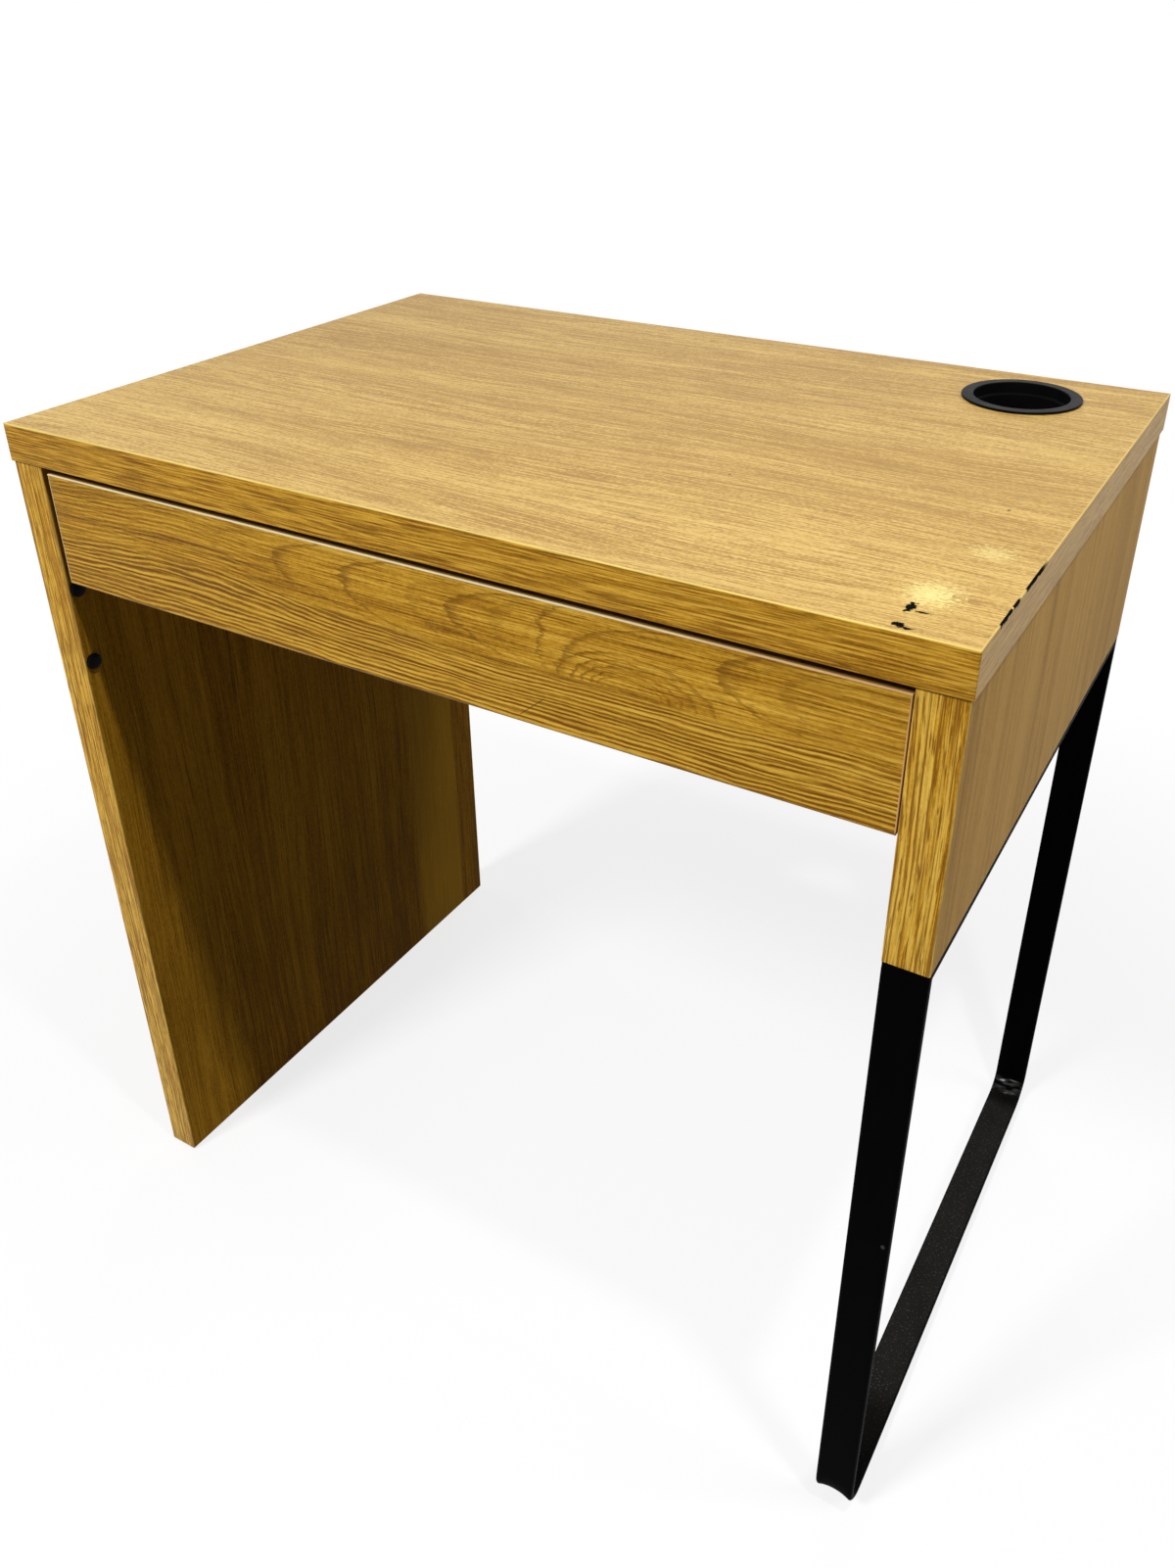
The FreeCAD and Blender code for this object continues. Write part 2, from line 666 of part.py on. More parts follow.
def leg():
    # The tube is rounded outside, and its inside corners are sharp. The plate shuts its ends.
    tube = loop_skin(0, tube_corner).cut(loop_skin(tube_wall, 0))
    plate = box(leg_x - tube_width / 2, leg_x + tube_width / 2, front_y, rear_y,
                leg_top_z - leg_plate, leg_top_z)
    plate = plate.makeFillet(tube_corner, long_edges(plate, UP, lambda p: True))
    tube = tube.fuse(plate)
    screws = []
    inserts = []
    middle_y = (front_y + rear_y) / 2
    for step in (-1, 0, 1):
        seat = Vector(leg_x, middle_y + step * leg_screw_spacing, leg_top_z - leg_plate)
        joint = Vector(seat.x, seat.y, leg_top_z)
        tip = joint + UP * insert_length
        screws.append(screw(seat, UP, leg_screw_diameter, leg_screw_length,
                            leg_screw_head_diameter, leg_screw_head_height))
        sleeve = bar(dowel_sides, insert_diameter, joint, tip)
        inserts.append(sleeve.cut(bar(fine_sides, leg_screw_diameter + 2 * fit, joint, tip)))
        pocket = bar(dowel_sides, insert_diameter + 2 * fit, joint, tip + UP * fit)
        drill("right_panel", pocket)
        drill("right_panel_bottom_edge", pocket)
        tube = tube.cut(bar(fine_sides, leg_screw_diameter + 2 * leg_screw_play, seat, joint))

    glides = []
    for y in (front_y + glide_inset, rear_y - glide_inset):
        low = Vector(leg_x, y, 0)
        seat = Vector(leg_x, y, leg_low_z)
        peg = bar(dowel_sides, peg_diameter, seat, seat + UP * peg_length)
        glides.append(bar(glide_sides, glide_diameter, low, seat).fuse(peg))
        tube = tube.cut(bar(dowel_sides, peg_diameter + 2 * fit, seat, seat + UP * (tube_thickness / 2)))
    save("leg_loop", tube)
    save("leg_screws", screws)
    save("leg_inserts", inserts)
    save("leg_glides", glides)


def panel_glides():
    glides = []
    x = -inner_x - side_thickness / 2
    for y in (front_y + glide_inset, rear_y - glide_inset):
        low = Vector(x, y, 0)
        seat = Vector(x, y, glide_height)
        nail = bar(fine_sides, nail_diameter, seat, seat + UP * nail_length)
        glides.append(bar(glide_sides, glide_diameter, low, seat).fuse(nail))
        nail_end = seat + UP * (nail_length + fit)
        drill("left_panel", bar(fine_sides, nail_diameter + 2 * fit, seat, nail_end))
    save("panel_glides", glides)


def main():
    os.makedirs("parts", exist_ok=True)
    # Fittings come first, because they drill the boards
    carcase_fittings()
    drawer_fittings()
    save("cam_bolts", cam_bolts)
    save("cam_locks", cam_locks)
    save("dowels", dowels)
    save("drawer_cam_bolts", drawer_cam_bolts)
    save("drawer_cam_locks", drawer_cam_locks)
    save("drawer_dowels", drawer_dowels)
    hole_caps()
    panel_glides()
    leg()
    slides()
    drawer_back_screws()
    top_board()
    side_panels()
    back_and_shelf()
    cable_outlet()
    drawer_boards()


main()
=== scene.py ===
"""A small office desk in oak-effect laminate with a black loop leg: looks, fine pieces and light."""
import math

import bmesh
import bpy
from mathutils import Matrix, Vector


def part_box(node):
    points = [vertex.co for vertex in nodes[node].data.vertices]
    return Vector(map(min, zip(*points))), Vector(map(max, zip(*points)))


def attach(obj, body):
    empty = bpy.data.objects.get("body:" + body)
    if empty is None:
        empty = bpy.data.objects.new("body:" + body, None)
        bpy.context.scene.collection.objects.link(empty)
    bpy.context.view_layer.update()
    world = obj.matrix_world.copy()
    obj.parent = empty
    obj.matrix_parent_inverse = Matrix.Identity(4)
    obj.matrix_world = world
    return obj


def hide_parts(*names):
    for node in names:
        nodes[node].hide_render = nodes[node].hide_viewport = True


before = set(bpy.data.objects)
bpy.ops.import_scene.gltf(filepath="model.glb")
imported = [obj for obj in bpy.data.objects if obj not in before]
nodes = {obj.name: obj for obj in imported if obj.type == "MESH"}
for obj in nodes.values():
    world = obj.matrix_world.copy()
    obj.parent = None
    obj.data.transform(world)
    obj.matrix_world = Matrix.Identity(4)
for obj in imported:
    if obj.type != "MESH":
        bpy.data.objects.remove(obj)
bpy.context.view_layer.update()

# The photograph's camera: pixels of a 1200 by 1601 image, degrees and metres
image_width = 1200
image_height = 1601
focal_pixels = 1324.0
optical_centre = (613.5, 702.0)
camera_azimuth = 31.05
camera_elevation = 29.03
camera_roll = -0.44
camera_place = (0.4939, -0.8229, 1.0408)
sensor = 36.0

# Places on the desk that the finishes follow, in metres
desk_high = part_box("top_front_edge")[1]
drawer_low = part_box("drawer_front")[0]
upright_middle = 0.349


# Shader values and finishes

class Value:
    """A number or colour that is worked out at each point of a surface."""

    def __init__(self, tree, socket):
        self.tree = tree
        self.socket = socket

    def math(self, operation, *others):
        """A Math node on this value and others."""
        numbers = dict(enumerate((self,) + others))
        return self.tree.node("ShaderNodeMath", {"operation": operation}, numbers)

    def near(self, centre, reach):
        """A soft hill: 1 at the centre, about a third at the reach."""
        away = (self - centre) * (1.0 / reach)
        return (-(away * away)).math("EXPONENT")

    def ramp(self, low, high, smooth=True):
        """0 on one side of two bounds and 1 on the other; the first bound may be the higher one."""
        kind = "SMOOTHSTEP" if smooth else "LINEAR"
        return self.tree.node("ShaderNodeMapRange", {"interpolation_type": kind},
                              {"Value": self, "From Min": low, "From Max": high})

    def __add__(self, other):
        return self.math("ADD", other)

    def __sub__(self, other):
        return self.math("SUBTRACT", other)

    def __rsub__(self, other):
        return -self + other

    def __mul__(self, other):
        return self.math("MULTIPLY", other)

    def __truediv__(self, other):
        return self.math("DIVIDE", other)

    def __neg__(self):
        return self * -1.0

    __radd__ = __add__
    __rmul__ = __mul__


class Tree:
    """The nodes of one material or world."""

    def __init__(self, owner):
        owner.use_nodes = True
        self.nodes = owner.node_tree.nodes
        self.links = owner.node_tree.links
        self.nodes.clear()

    def node(self, kind, settings, sockets, output=0):
        """Add any node: its settings first, then a number, colour or value for each socket."""
        made = self.nodes.new(kind)
        for key, setting in settings.items():
            setattr(made, key, setting)
        for key, given in sockets.items():
            if isinstance(given, Value):
                self.links.new(given.socket, made.inputs[key])
            else:
                made.inputs[key].default_value = given
        return Value(self, made.outputs[output]) if made.outputs else None

    def shown(self):
        """1 for what the camera sees, straight, in a gloss or through glass."""
        kinds = ("Is Camera Ray", "Is Glossy Ray", "Is Transmission Ray")
        camera, glossy, through = [self.node("ShaderNodeLightPath", {}, {}, kind) for kind in kinds]
        return camera.math("MAXIMUM", glossy).math("MAXIMUM", through)


class Finish(Tree):
    """A surface finish, patterned by the place on the desk in metres."""

    def __init__(self, name):
        self.material = bpy.data.materials.new(name)
        super().__init__(self.material)
        place = self.node("ShaderNodeTexCoord", {}, {}, "Object")
        axes = [self.node("ShaderNodeSeparateXYZ", {}, {0: place}, axis) for axis in "XYZ"]
        self.x, self.y, self.z = axes

    def noise(self, x, y, z, detail=2.0, roughness=0.5):
        """Soft noise, spread over most of the range from 0 to 1."""
        place = self.node("ShaderNodeCombineXYZ", {}, {0: x, 1: y, 2: z})
        cloud = self.node("ShaderNodeTexNoise", {}, {"Vector": place, "Scale": 1.0, "Detail": detail,
                                                     "Roughness": roughness})
        return cloud.ramp(0.28, 0.72, smooth=False)

    def blend(self, share, first, second):
        """A colour between two others."""
        return self.node("ShaderNodeMix", {"data_type": "RGBA"}, {0: share, 6: first, 7: second}, 2)

    def from_point(self, first, second, centre, reach):
        """Squared distance from a point on two axes: 1 on an ellipse of the given reaches."""
        a = (first - centre[0]) * (1.0 / reach[0])
        b = (second - centre[1]) * (1.0 / reach[1])
        return a * a + b * b

    def relief(self, height, depth):
        """Surface relief: a height from 0 to 1 times a depth in metres."""
        return self.node("ShaderNodeBump", {}, {"Height": height, "Distance": depth})

    def coat(self, colour, rough, relief, shine, metal=0.0, soot=None):
        """Finish the surface: what varies, its even shine and metal, and where soot lies."""
        shader = self.node("ShaderNodeBsdfPrincipled", {}, {
            "Base Color": colour, "Roughness": rough, "Normal": relief, "Specular IOR Level": shine,
            "Metallic": metal})
        if soot:
            black = self.node("ShaderNodeBsdfPrincipled", {}, {
                "Base Color": paint(0.004, 0.004, 0.004), "Roughness": 0.9, "Specular IOR Level": 0.02})
            shader = self.node("ShaderNodeMixShader", {}, {0: soot, 1: shader, 2: black})
        self.node("ShaderNodeOutputMaterial", {}, {"Surface": shader})
        return self.material


def paint(red, green, blue):
    """A solid colour for a socket."""
    return (red, green, blue, 1.0)


# Oak-effect laminate

class Tones:
    """Light, middle and dark colour of one printed sheet."""

    def __init__(self, light, middle, dark):
        self.light = paint(*light)
        self.middle = paint(*middle)
        self.dark = paint(*dark)


worktop_oak = Tones((0.636, 0.438, 0.136), (0.516, 0.328, 0.090), (0.338, 0.190, 0.043))
front_oak = Tones((0.880, 0.525, 0.072), (0.600, 0.305, 0.020), (0.200, 0.073, 0.003))
strip_oak = Tones((0.820, 0.465, 0.056), (0.525, 0.255, 0.015), (0.180, 0.062, 0.002))
upright_oak = Tones((0.970, 0.610, 0.100), (0.690, 0.350, 0.022), (0.255, 0.092, 0.004))
side_oak = Tones((0.570, 0.350, 0.085), (0.450, 0.258, 0.052), (0.280, 0.142, 0.022))
# The right panel's oak, lighter and greyer than the side oak: painted sheen
right_oak_with_sheen = Tones((0.600, 0.348, 0.095), (0.492, 0.282, 0.066), (0.308, 0.155, 0.030))
# Darker, deeper copy of the side panel's oak for the left panel's inner face: painted shade
shaded_inner_oak = Tones((0.570, 0.282, 0.020), (0.375, 0.170, 0.008), (0.175, 0.070, 0.002))
foil_oak = Tones((0.600, 0.440, 0.220), (0.540, 0.385, 0.180), (0.430, 0.290, 0.120))
bare_beech = Tones((0.640, 0.440, 0.260), (0.560, 0.360, 0.190), (0.430, 0.250, 0.120))


class Sheet(Finish):
    """A sheet of laminate: its fibres run along one axis, and its print has a seed of its own."""

    def __init__(self, name, axes, tones, seed):
        super().__init__(name)
        self.tones = tones
        self.along, self.across, self.through = [getattr(self, axis) for axis in axes]
        self.through = self.through + seed * 3.7

    def layer(self, length, width, detail=2.0):
        """Streaks of about one length and width, in metres."""
        return self.noise(self.along * (1.0 / length), self.across * (1.0 / width),
                          self.through * (0.25 / width), detail)

    def wander(self, length, width, reach):
        """Bend the fibres sideways by up to a reach in metres."""
        self.across = self.across + (self.layer(length, width, 1.0) - 0.5) * (2.0 * reach)

    def print_grain(self, broad, bands, lines, fibres, pores, grit=0.2, shade=0.0):
        """The printed colour: a weight for each layer, and painted light and shade that lighten or darken
        it in places.
        """
        self.threads = self.layer(0.050, 0.0009)
        self.pores = self.layer(0.010, 0.0006, 1.0).ramp(0.60, 0.85)
        tone = shade + 0.5
        for streaks, weight in ((self.layer(0.50, 0.040), broad), (self.layer(0.30, 0.0075, 3.0), bands),
                                (self.layer(0.075, 0.0015), lines), (self.threads, fibres),
                                (self.layer(0.0024, 0.0016, 1.0), grit)):
            tone = tone + (streaks - 0.5) * weight
        lower = self.blend(tone.ramp(0.0, 0.5, smooth=False), self.tones.dark, self.tones.middle)
        colour = self.blend(tone.ramp(0.5, 1.0, smooth=False), lower, self.tones.light)
        return self.blend(self.pores * pores, colour, self.tones.dark)

    def laminate(self, colour, rough, shine, soot=None):
        """Satin face with the pores pressed into it."""
        height = self.threads * 0.25 - self.pores * 0.8
        return self.coat(colour, rough + self.threads * 0.06 + self.pores * 0.12,
                         self.relief(height, 0.00006), shine, 0.0, soot)

    def spot(self, centre, reach, ragged, grain, seed, soft=0.33):
        """A mark with ragged edges on a level face: 1 in its middle and 0 outside."""
        away = self.from_point(self.x, self.y, centre, reach).math("SQRT")
        rag = self.noise(self.x * (1.0 / grain[0]) + seed, self.y * (1.0 / grain[1]), 0.0, 3.0, 0.65)
        return (away + (rag - 0.5) * ragged).ramp(1.05, 1.05 - soft)


# Pale gold of rounded arrises: partly wear, partly a painted highlight
rubbed_and_highlit_gold = paint(0.80, 0.64, 0.20)
plain_grain = (0.45, 0.55, 0.65, 0.5, 0.35)


def board(name, axes, tones, seed, weights=plain_grain, rough=0.42, shine=0.12):
    """Straight-grained board."""
    sheet = Sheet(name, axes, tones, seed)
    sheet.wander(0.5, 0.09, 0.006)
    return sheet.laminate(sheet.print_grain(*weights), rough, shine)


def left_board():
    """Left side panel: inside a darker copy of the oak as painted shade, with painted light in front and
    in a band behind and painted shade towards the floor; plain oak outside.
    """
    sheet = Sheet("oak_left_panel", "zyx", shaded_inner_oak, 7.0)
    sheet.wander(0.5, 0.09, 0.006)
    # Painted light on the inner face: lit in front and in a band behind, and painted shade towards the
    # floor elsewhere
    front = sheet.y.ramp(-0.12, -0.20)
    foot = sheet.z.ramp(0.24, 0.0)
    band = sheet.y.ramp(0.124, 0.142) * sheet.y.ramp(0.217, 0.206)
    outside = sheet.x.ramp(-0.345, -0.355)
    shade = front * 0.20 - (1.0 - front) * foot * 0.35
    inner = sheet.print_grain(0.40, 0.45, 0.6, 0.6, 0.35, 0.35, shade)
    inner = sheet.blend(band * 0.5, inner, paint(0.68, 0.36, 0.03))
    # The inside has the darker copy of the oak as painted shade; the outside has the plain side oak
    sheet.tones = side_oak
    outer = sheet.print_grain(*plain_grain)
    return sheet.laminate(sheet.blend(outside, inner, outer), 0.5, 0.03)


def edge_strip(name, axes, tones, seed, corner_rub_and_highlight=None):
    """Edge strip with short fine strokes, dark and light, and a corner that may be rubbed pale and
    painted with a highlight.
    """
    sheet = Sheet(name, axes, tones, seed)
    sheet.wander(0.25, 0.05, 0.002)
    colour = sheet.print_grain(0.25, 0.30, 0.75, 0.8, 0.3)
    strokes = sheet.layer(0.036, 0.0012).ramp(0.40, 0.80)
    gleams = sheet.layer(0.042, 0.0014).ramp(0.42, 0.80)
    colour = sheet.blend(gleams * 0.75, colour, tones.light)
    colour = sheet.blend(strokes * 0.65, colour, tones.dark)
    soot = None
    if corner_rub_and_highlight:
        colour, soot = corner_rub_and_highlight(sheet, colour)
    return sheet.laminate(colour, 0.40, 0.15, soot)


def upright_strip(name, seed):
    """Front or rear strip of a side panel: long fine lines, dark and light, painted light lower down, and
    pale corners that are partly rubbed and partly a painted highlight.
    """
    sheet = Sheet(name, "zxy", upright_oak, seed)
    sheet.wander(0.25, 0.05, 0.002)
    # Painted light: the strip is lighter lower down
    painted_light_low = sheet.z.ramp(0.68, 0.55)
    colour = sheet.print_grain(0.35, 0.8, 0.8, 0.6, 0.3, shade=painted_light_low * 0.25)
    strokes = sheet.layer(0.075, 0.0016).ramp(0.48, 0.85)
    gleams = sheet.layer(0.085, 0.0020).ramp(0.48, 0.88)
    pecks = sheet.layer(0.020, 0.0012).ramp(0.52, 0.88)
    colour = sheet.blend(gleams * 0.85, colour, upright_oak.light)
    colour = sheet.blend(strokes.math("MAXIMUM", pecks) * 0.85, colour, upright_oak.dark)
    # Pale arrises: partly rubbed wear, partly a painted highlight
    from_middle = (sheet.x.math("ABSOLUTE") - upright_middle).math("ABSOLUTE")
    corners = from_middle.ramp(0.0137, 0.0143)
    colour = sheet.blend(corners * 0.35, colour, rubbed_and_highlit_gold)
    return sheet.laminate(colour, 0.40, 0.15)


def chipped_edge(sheet, reach):
    """Black chips on the top's upper right edge, in two runs, within a reach of the edge in metres."""
    from_edge = (desk_high.x - sheet.x) + (desk_high.z - sheet.z)
    rag = sheet.noise(sheet.y / 0.006, sheet.x / 0.004, sheet.z / 0.004, 3.0, 0.7)
    close = (from_edge - rag * reach).ramp(reach * 0.6, reach * 0.2)
    first = sheet.y.ramp(-0.2190, -0.2165) * sheet.y.ramp(-0.1780, -0.1830)
    second = sheet.y.ramp(-0.1695, -0.1665) * sheet.y.ramp(-0.1160, -0.1360)
    broken = sheet.noise(sheet.y / 0.009, 4.0, 0.0, 1.0).ramp(0.15, 0.22)
    return close * (first + second) * broken


def rub_and_highlight_corner(sheet, colour, weight):
    """The rounded upper corner of the top, pale gold: partly rubbed wear, partly a painted highlight."""
    corner = sheet.z.ramp(desk_high.z - 0.0012, desk_high.z - 0.0004)
    return sheet.blend(corner * weight, colour, rubbed_and_highlit_gold)


def top_edge_rub_and_highlight(sheet, colour):
    """An edge of the top with a rubbed and painted-highlight corner and no chips."""
    return rub_and_highlight_corner(sheet, colour, 0.7), None


def right_edge_rub_highlight_and_chips(sheet, colour):
    """The right edge of the top, with a rubbed and painted-highlight corner and black chips."""
    return rub_and_highlight_corner(sheet, colour, 0.5), chipped_edge(sheet, 0.0024)


def worktop():
    """Face of the top: calm grain with brown veins, rubbed and scuffed near the front right corner;
    painted sheen at the front left and painted shade behind.
    """
    sheet = Sheet("oak_worktop", "xyz", worktop_oak, 1.0)
    sheet.wander(0.45, 0.10, 0.011)
    # Painted light: a lighter, greyer sheen at the front left, and painted shade over the rear, darkest
    # in the middle
    behind = sheet.y.ramp(-0.17, -0.06)
    painted_sheen_front_left = (1.0 - behind) * sheet.x.ramp(-0.12, -0.28)
    painted_shade_rear = behind * (0.5 + sheet.x.near(0.05, 0.3) * 0.5)
    shade = painted_sheen_front_left * 0.15 - painted_shade_rear * 0.18
    colour = sheet.print_grain(0.45, 0.30, 0.95, 1.15, 0.5, 0.65, shade)
    veins = sheet.layer(0.40, 0.013).ramp(0.72, 1.0)
    colour = sheet.blend(veins * 0.35, colour, worktop_oak.dark)
    # Stains: centre, reach, how ragged, size of the rag, softness, weight and tint
    fine = (0.004, 0.004)
    speckled = (0.0030, 0.0016)
    pale = paint(0.84, 0.71, 0.27)
    bruise = paint(0.10, 0.055, 0.02)
    stains = [
        ((0.3235, -0.1985), (0.0175, 0.0190), 1.6, speckled, 0.80, 0.75, pale),
        ((0.3360, -0.1285), (0.0150, 0.0120), 2.0, speckled, 0.90, 0.50, pale),
        ((0.1490, -0.0840), (0.0008, 0.0022), 1.0, fine, 0.33, 0.7, bruise),
        ((0.3247, -0.0580), (0.0010, 0.0024), 1.0, fine, 0.33, 0.8, bruise),
        ((0.1310, -0.1822), (0.0026, 0.0011), 1.0, fine, 0.33, 0.6, bruise),
        ((-0.3213, 0.0421), (0.0022, 0.0013), 1.0, fine, 0.33, 0.6, bruise),
    ]
    for number, (centre, reach, ragged, grain, soft, weight, tint) in enumerate(stains):
        stain = sheet.spot(centre, reach, ragged, grain, number, soft)
        colour = sheet.blend(stain * weight, colour, tint)
    # Black scuffs: centre, reach and how ragged
    scuffs = [
        ((0.3185, -0.2195), (0.0030, 0.0062), 1.2),
        ((0.3262, -0.2228), (0.0068, 0.0010), 1.2),
        ((0.3205, -0.2420), (0.0042, 0.0032), 1.0),
        ((0.3255, -0.2445), (0.0034, 0.0016), 1.2),
    ]
    soot = chipped_edge(sheet, 0.0009)
    for number, (centre, reach, ragged) in enumerate(scuffs):
        soot = soot.math("MAXIMUM", sheet.spot(centre, reach, ragged, fine, 10 + number))
    return sheet.laminate(colour, 0.40, 0.20, soot)


def drawer_face():
    """Flat-sawn print, drawn in millimetres: straight lines, arches above them, and an eye."""
    sheet = Sheet("oak_drawer_front", "xzy", front_oak, 2.0)
    x, z = sheet.x * 1000.0, sheet.z * 1000.0
    colour = sheet.print_grain(0.45, 0.45, 0.5, 0.8, 0.45)
    sway = sheet.noise(x / 90.0, z / 30.0, 5.0) - 0.5
    ripple = sheet.noise(x / 9.0, z / 4.5, 9.0) - 0.5
    jag = sheet.noise(x / 14.0, z / 2.2, 12.0) - 0.5
    fibre = sheet.noise(x / 22.0, z / 0.9, 2.0)
    # Straight lines, lifted on the left and sunk under the eye, and fainter above at both ends
    lift = x.near(-200.0, 95.0) * 10.0 - x.near(90.0, 140.0) * 8.0
    row = z - lift * z.ramp(622.0, 676.0, smooth=False) + sway * 4.0
    uneven = sheet.noise(row / 8.0, x / 300.0, 6.0) - 0.5
    wave = (row * (2.0 * math.pi / 3.4) + uneven * 5.0 + ripple * 0.7).math("SINE")
    strong = sheet.noise(x / 36.0, row / 2.2, 3.0).ramp(0.15, 0.75)
    lower = (z - lift * 0.5 + sway * 8.0).ramp(676.0, 666.0)
    ends = (x.ramp(-95.0, -150.0) + x.ramp(240.0, 280.0)) * 0.45
    lined = lower.math("MAXIMUM", ends)
    lines = wave.ramp(-0.3, 0.7) * (0.35 + strong * 0.65) * lined
    gleams = wave.ramp(-0.2, -0.9) * (1.0 - strong * 0.5) * lined
    # Arches, open to the right: tip, darkness, lean of the lower and of the upper arm, and width
    height = z - 694.0 + sway * 6.0
    below = (-height).math("MAXIMUM", 0.0)
    above = height.math("MAXIMUM", 0.0)
    lower_arm = below * below * 0.093
    upper_arm = above * above * above * 0.0057
    width = 15.0 - below.ramp(3.0, 8.0) * 8.0
    place = x + ripple * 4.0 + jag * 6.0 + sway * 8.0
    arches = None
    for tip, weight, lean, rise, spread in (
            (-168.0, 0.35, 3.0, 1.0, 1.0), (-109.0, 0.9, 1.8, 0.8, 1.0), (-52.0, 1.0, 1.0, 1.0, 0.8),
            (4.0, 0.45, 0.6, 1.0, 1.0), (38.0, 1.0, 1.0, 1.0, 0.9), (70.0, 0.35, 0.5, 0.8, 1.0),
            (104.0, 1.0, 0.05, 0.3, 0.35), (222.0, 0.9, 1.3, 0.5, 1.0), (262.0, 0.45, 1.5, 0.6, 1.0)):
        past = place - tip - lower_arm * lean - upper_arm * rise
        arch = past.ramp(-1.5, 1.0) * (past / (width * spread)).ramp(1.0, 0.1) * weight
        arches = arch if arches is None else arches.math("MAXIMUM", arch)
    # The eye: half rings that widen outwards, clearest on the left
    from_eye = x - 164.5
    above_eye = z - 668.5
    flat = from_eye / (1.85 + from_eye.ramp(-5.0, 5.0) * 0.45)
    away = (flat * flat + above_eye * above_eye).math("SQRT") + ripple * 1.8
    turn = (away.math("MAXIMUM", 1.0).math("LOGARITHM", math.e) * 4.6).math("FRACT")
    rings = turn.ramp(0.45, 0.88) * turn.ramp(1.0, 0.92) * away.ramp(7.0, 11.0) * away.ramp(34.0, 26.0)
    rings = rings * (0.75 + from_eye.ramp(10.0, -30.0) * 0.25)
    eye = away.ramp(36.0, 28.0) * above_eye.ramp(-3.0, 2.0)
    # The brow that climbs from the eye's left end and bends away to the right above it
    climb = above_eye.math("MAXIMUM", 0.0)
    cube = climb * climb * climb
    lean = climb * 0.28 + climb * climb * 0.0085 + cube * cube * 4.75e-9
    brow = from_eye + 50.5 - lean + ripple * 2.5 + jag * 4.0
    brow = brow.ramp(-1.5, 1.0) * (brow / 9.0).ramp(1.0, 0.1) * above_eye.ramp(-1.0, 6.0)
    upper = (arches * (1.0 - eye) + rings * eye).math("MAXIMUM", brow * 0.9)
    upper = upper * (0.35 + fibre * 0.65) * (1.0 - lower)
    colour = sheet.blend(gleams * 0.8, colour, front_oak.light)
    colour = sheet.blend(lines.math("MAXIMUM", upper), colour, front_oak.dark)
    # Fine scratch near the lower edge
    from_scratch = x - 98.0
    above_scratch = z - 641.0
    slant = from_scratch * 0.66 - above_scratch * 0.75
    run = from_scratch * 0.75 + above_scratch * 0.66
    scratch = slant.math("ABSOLUTE").ramp(0.5, 0.2) * run.math("ABSOLUTE").ramp(15.0, 10.0)
    colour = sheet.blend(scratch * 0.7, colour, paint(0.09, 0.04, 0.01))
    return sheet.laminate(colour, 0.42, 0.15)


def pale_band():
    """Thin cream band on the drawer front's edges, its cream partly a painted highlight: a little dirty,
    with painted shade behind and darker along the bottom.
    """
    finish = Finish("pale_band")
    dirt = finish.noise(finish.x / 0.03, finish.y / 0.01, finish.z / 0.03, 3.0)
    # Cream, lighter on the left: partly the band's colour, partly a painted highlight
    cream_highlight_left = finish.x.ramp(0.34, 0.10) * 0.95
    behind = finish.y.ramp(-0.2472, -0.2462)
    below = finish.z.ramp(drawer_low.z + 0.002, drawer_low.z)
    colour = finish.blend(cream_highlight_left, paint(0.80, 0.46, 0.18), paint(1.00, 0.90, 0.56))
    colour = finish.blend(dirt * 0.25, colour, paint(0.42, 0.24, 0.10))
    # Painted shade: brown behind the band's front, where the top shades it
    colour = finish.blend(behind, colour, paint(0.230, 0.130, 0.036))
    # Darker along the bottom edge
    colour = finish.blend(below * 0.85, colour, paint(0.14, 0.065, 0.020))
    return finish.coat(colour, 0.45 + dirt * 0.1, finish.relief(dirt, 0.00003), 0.3)


# Metal and plastic

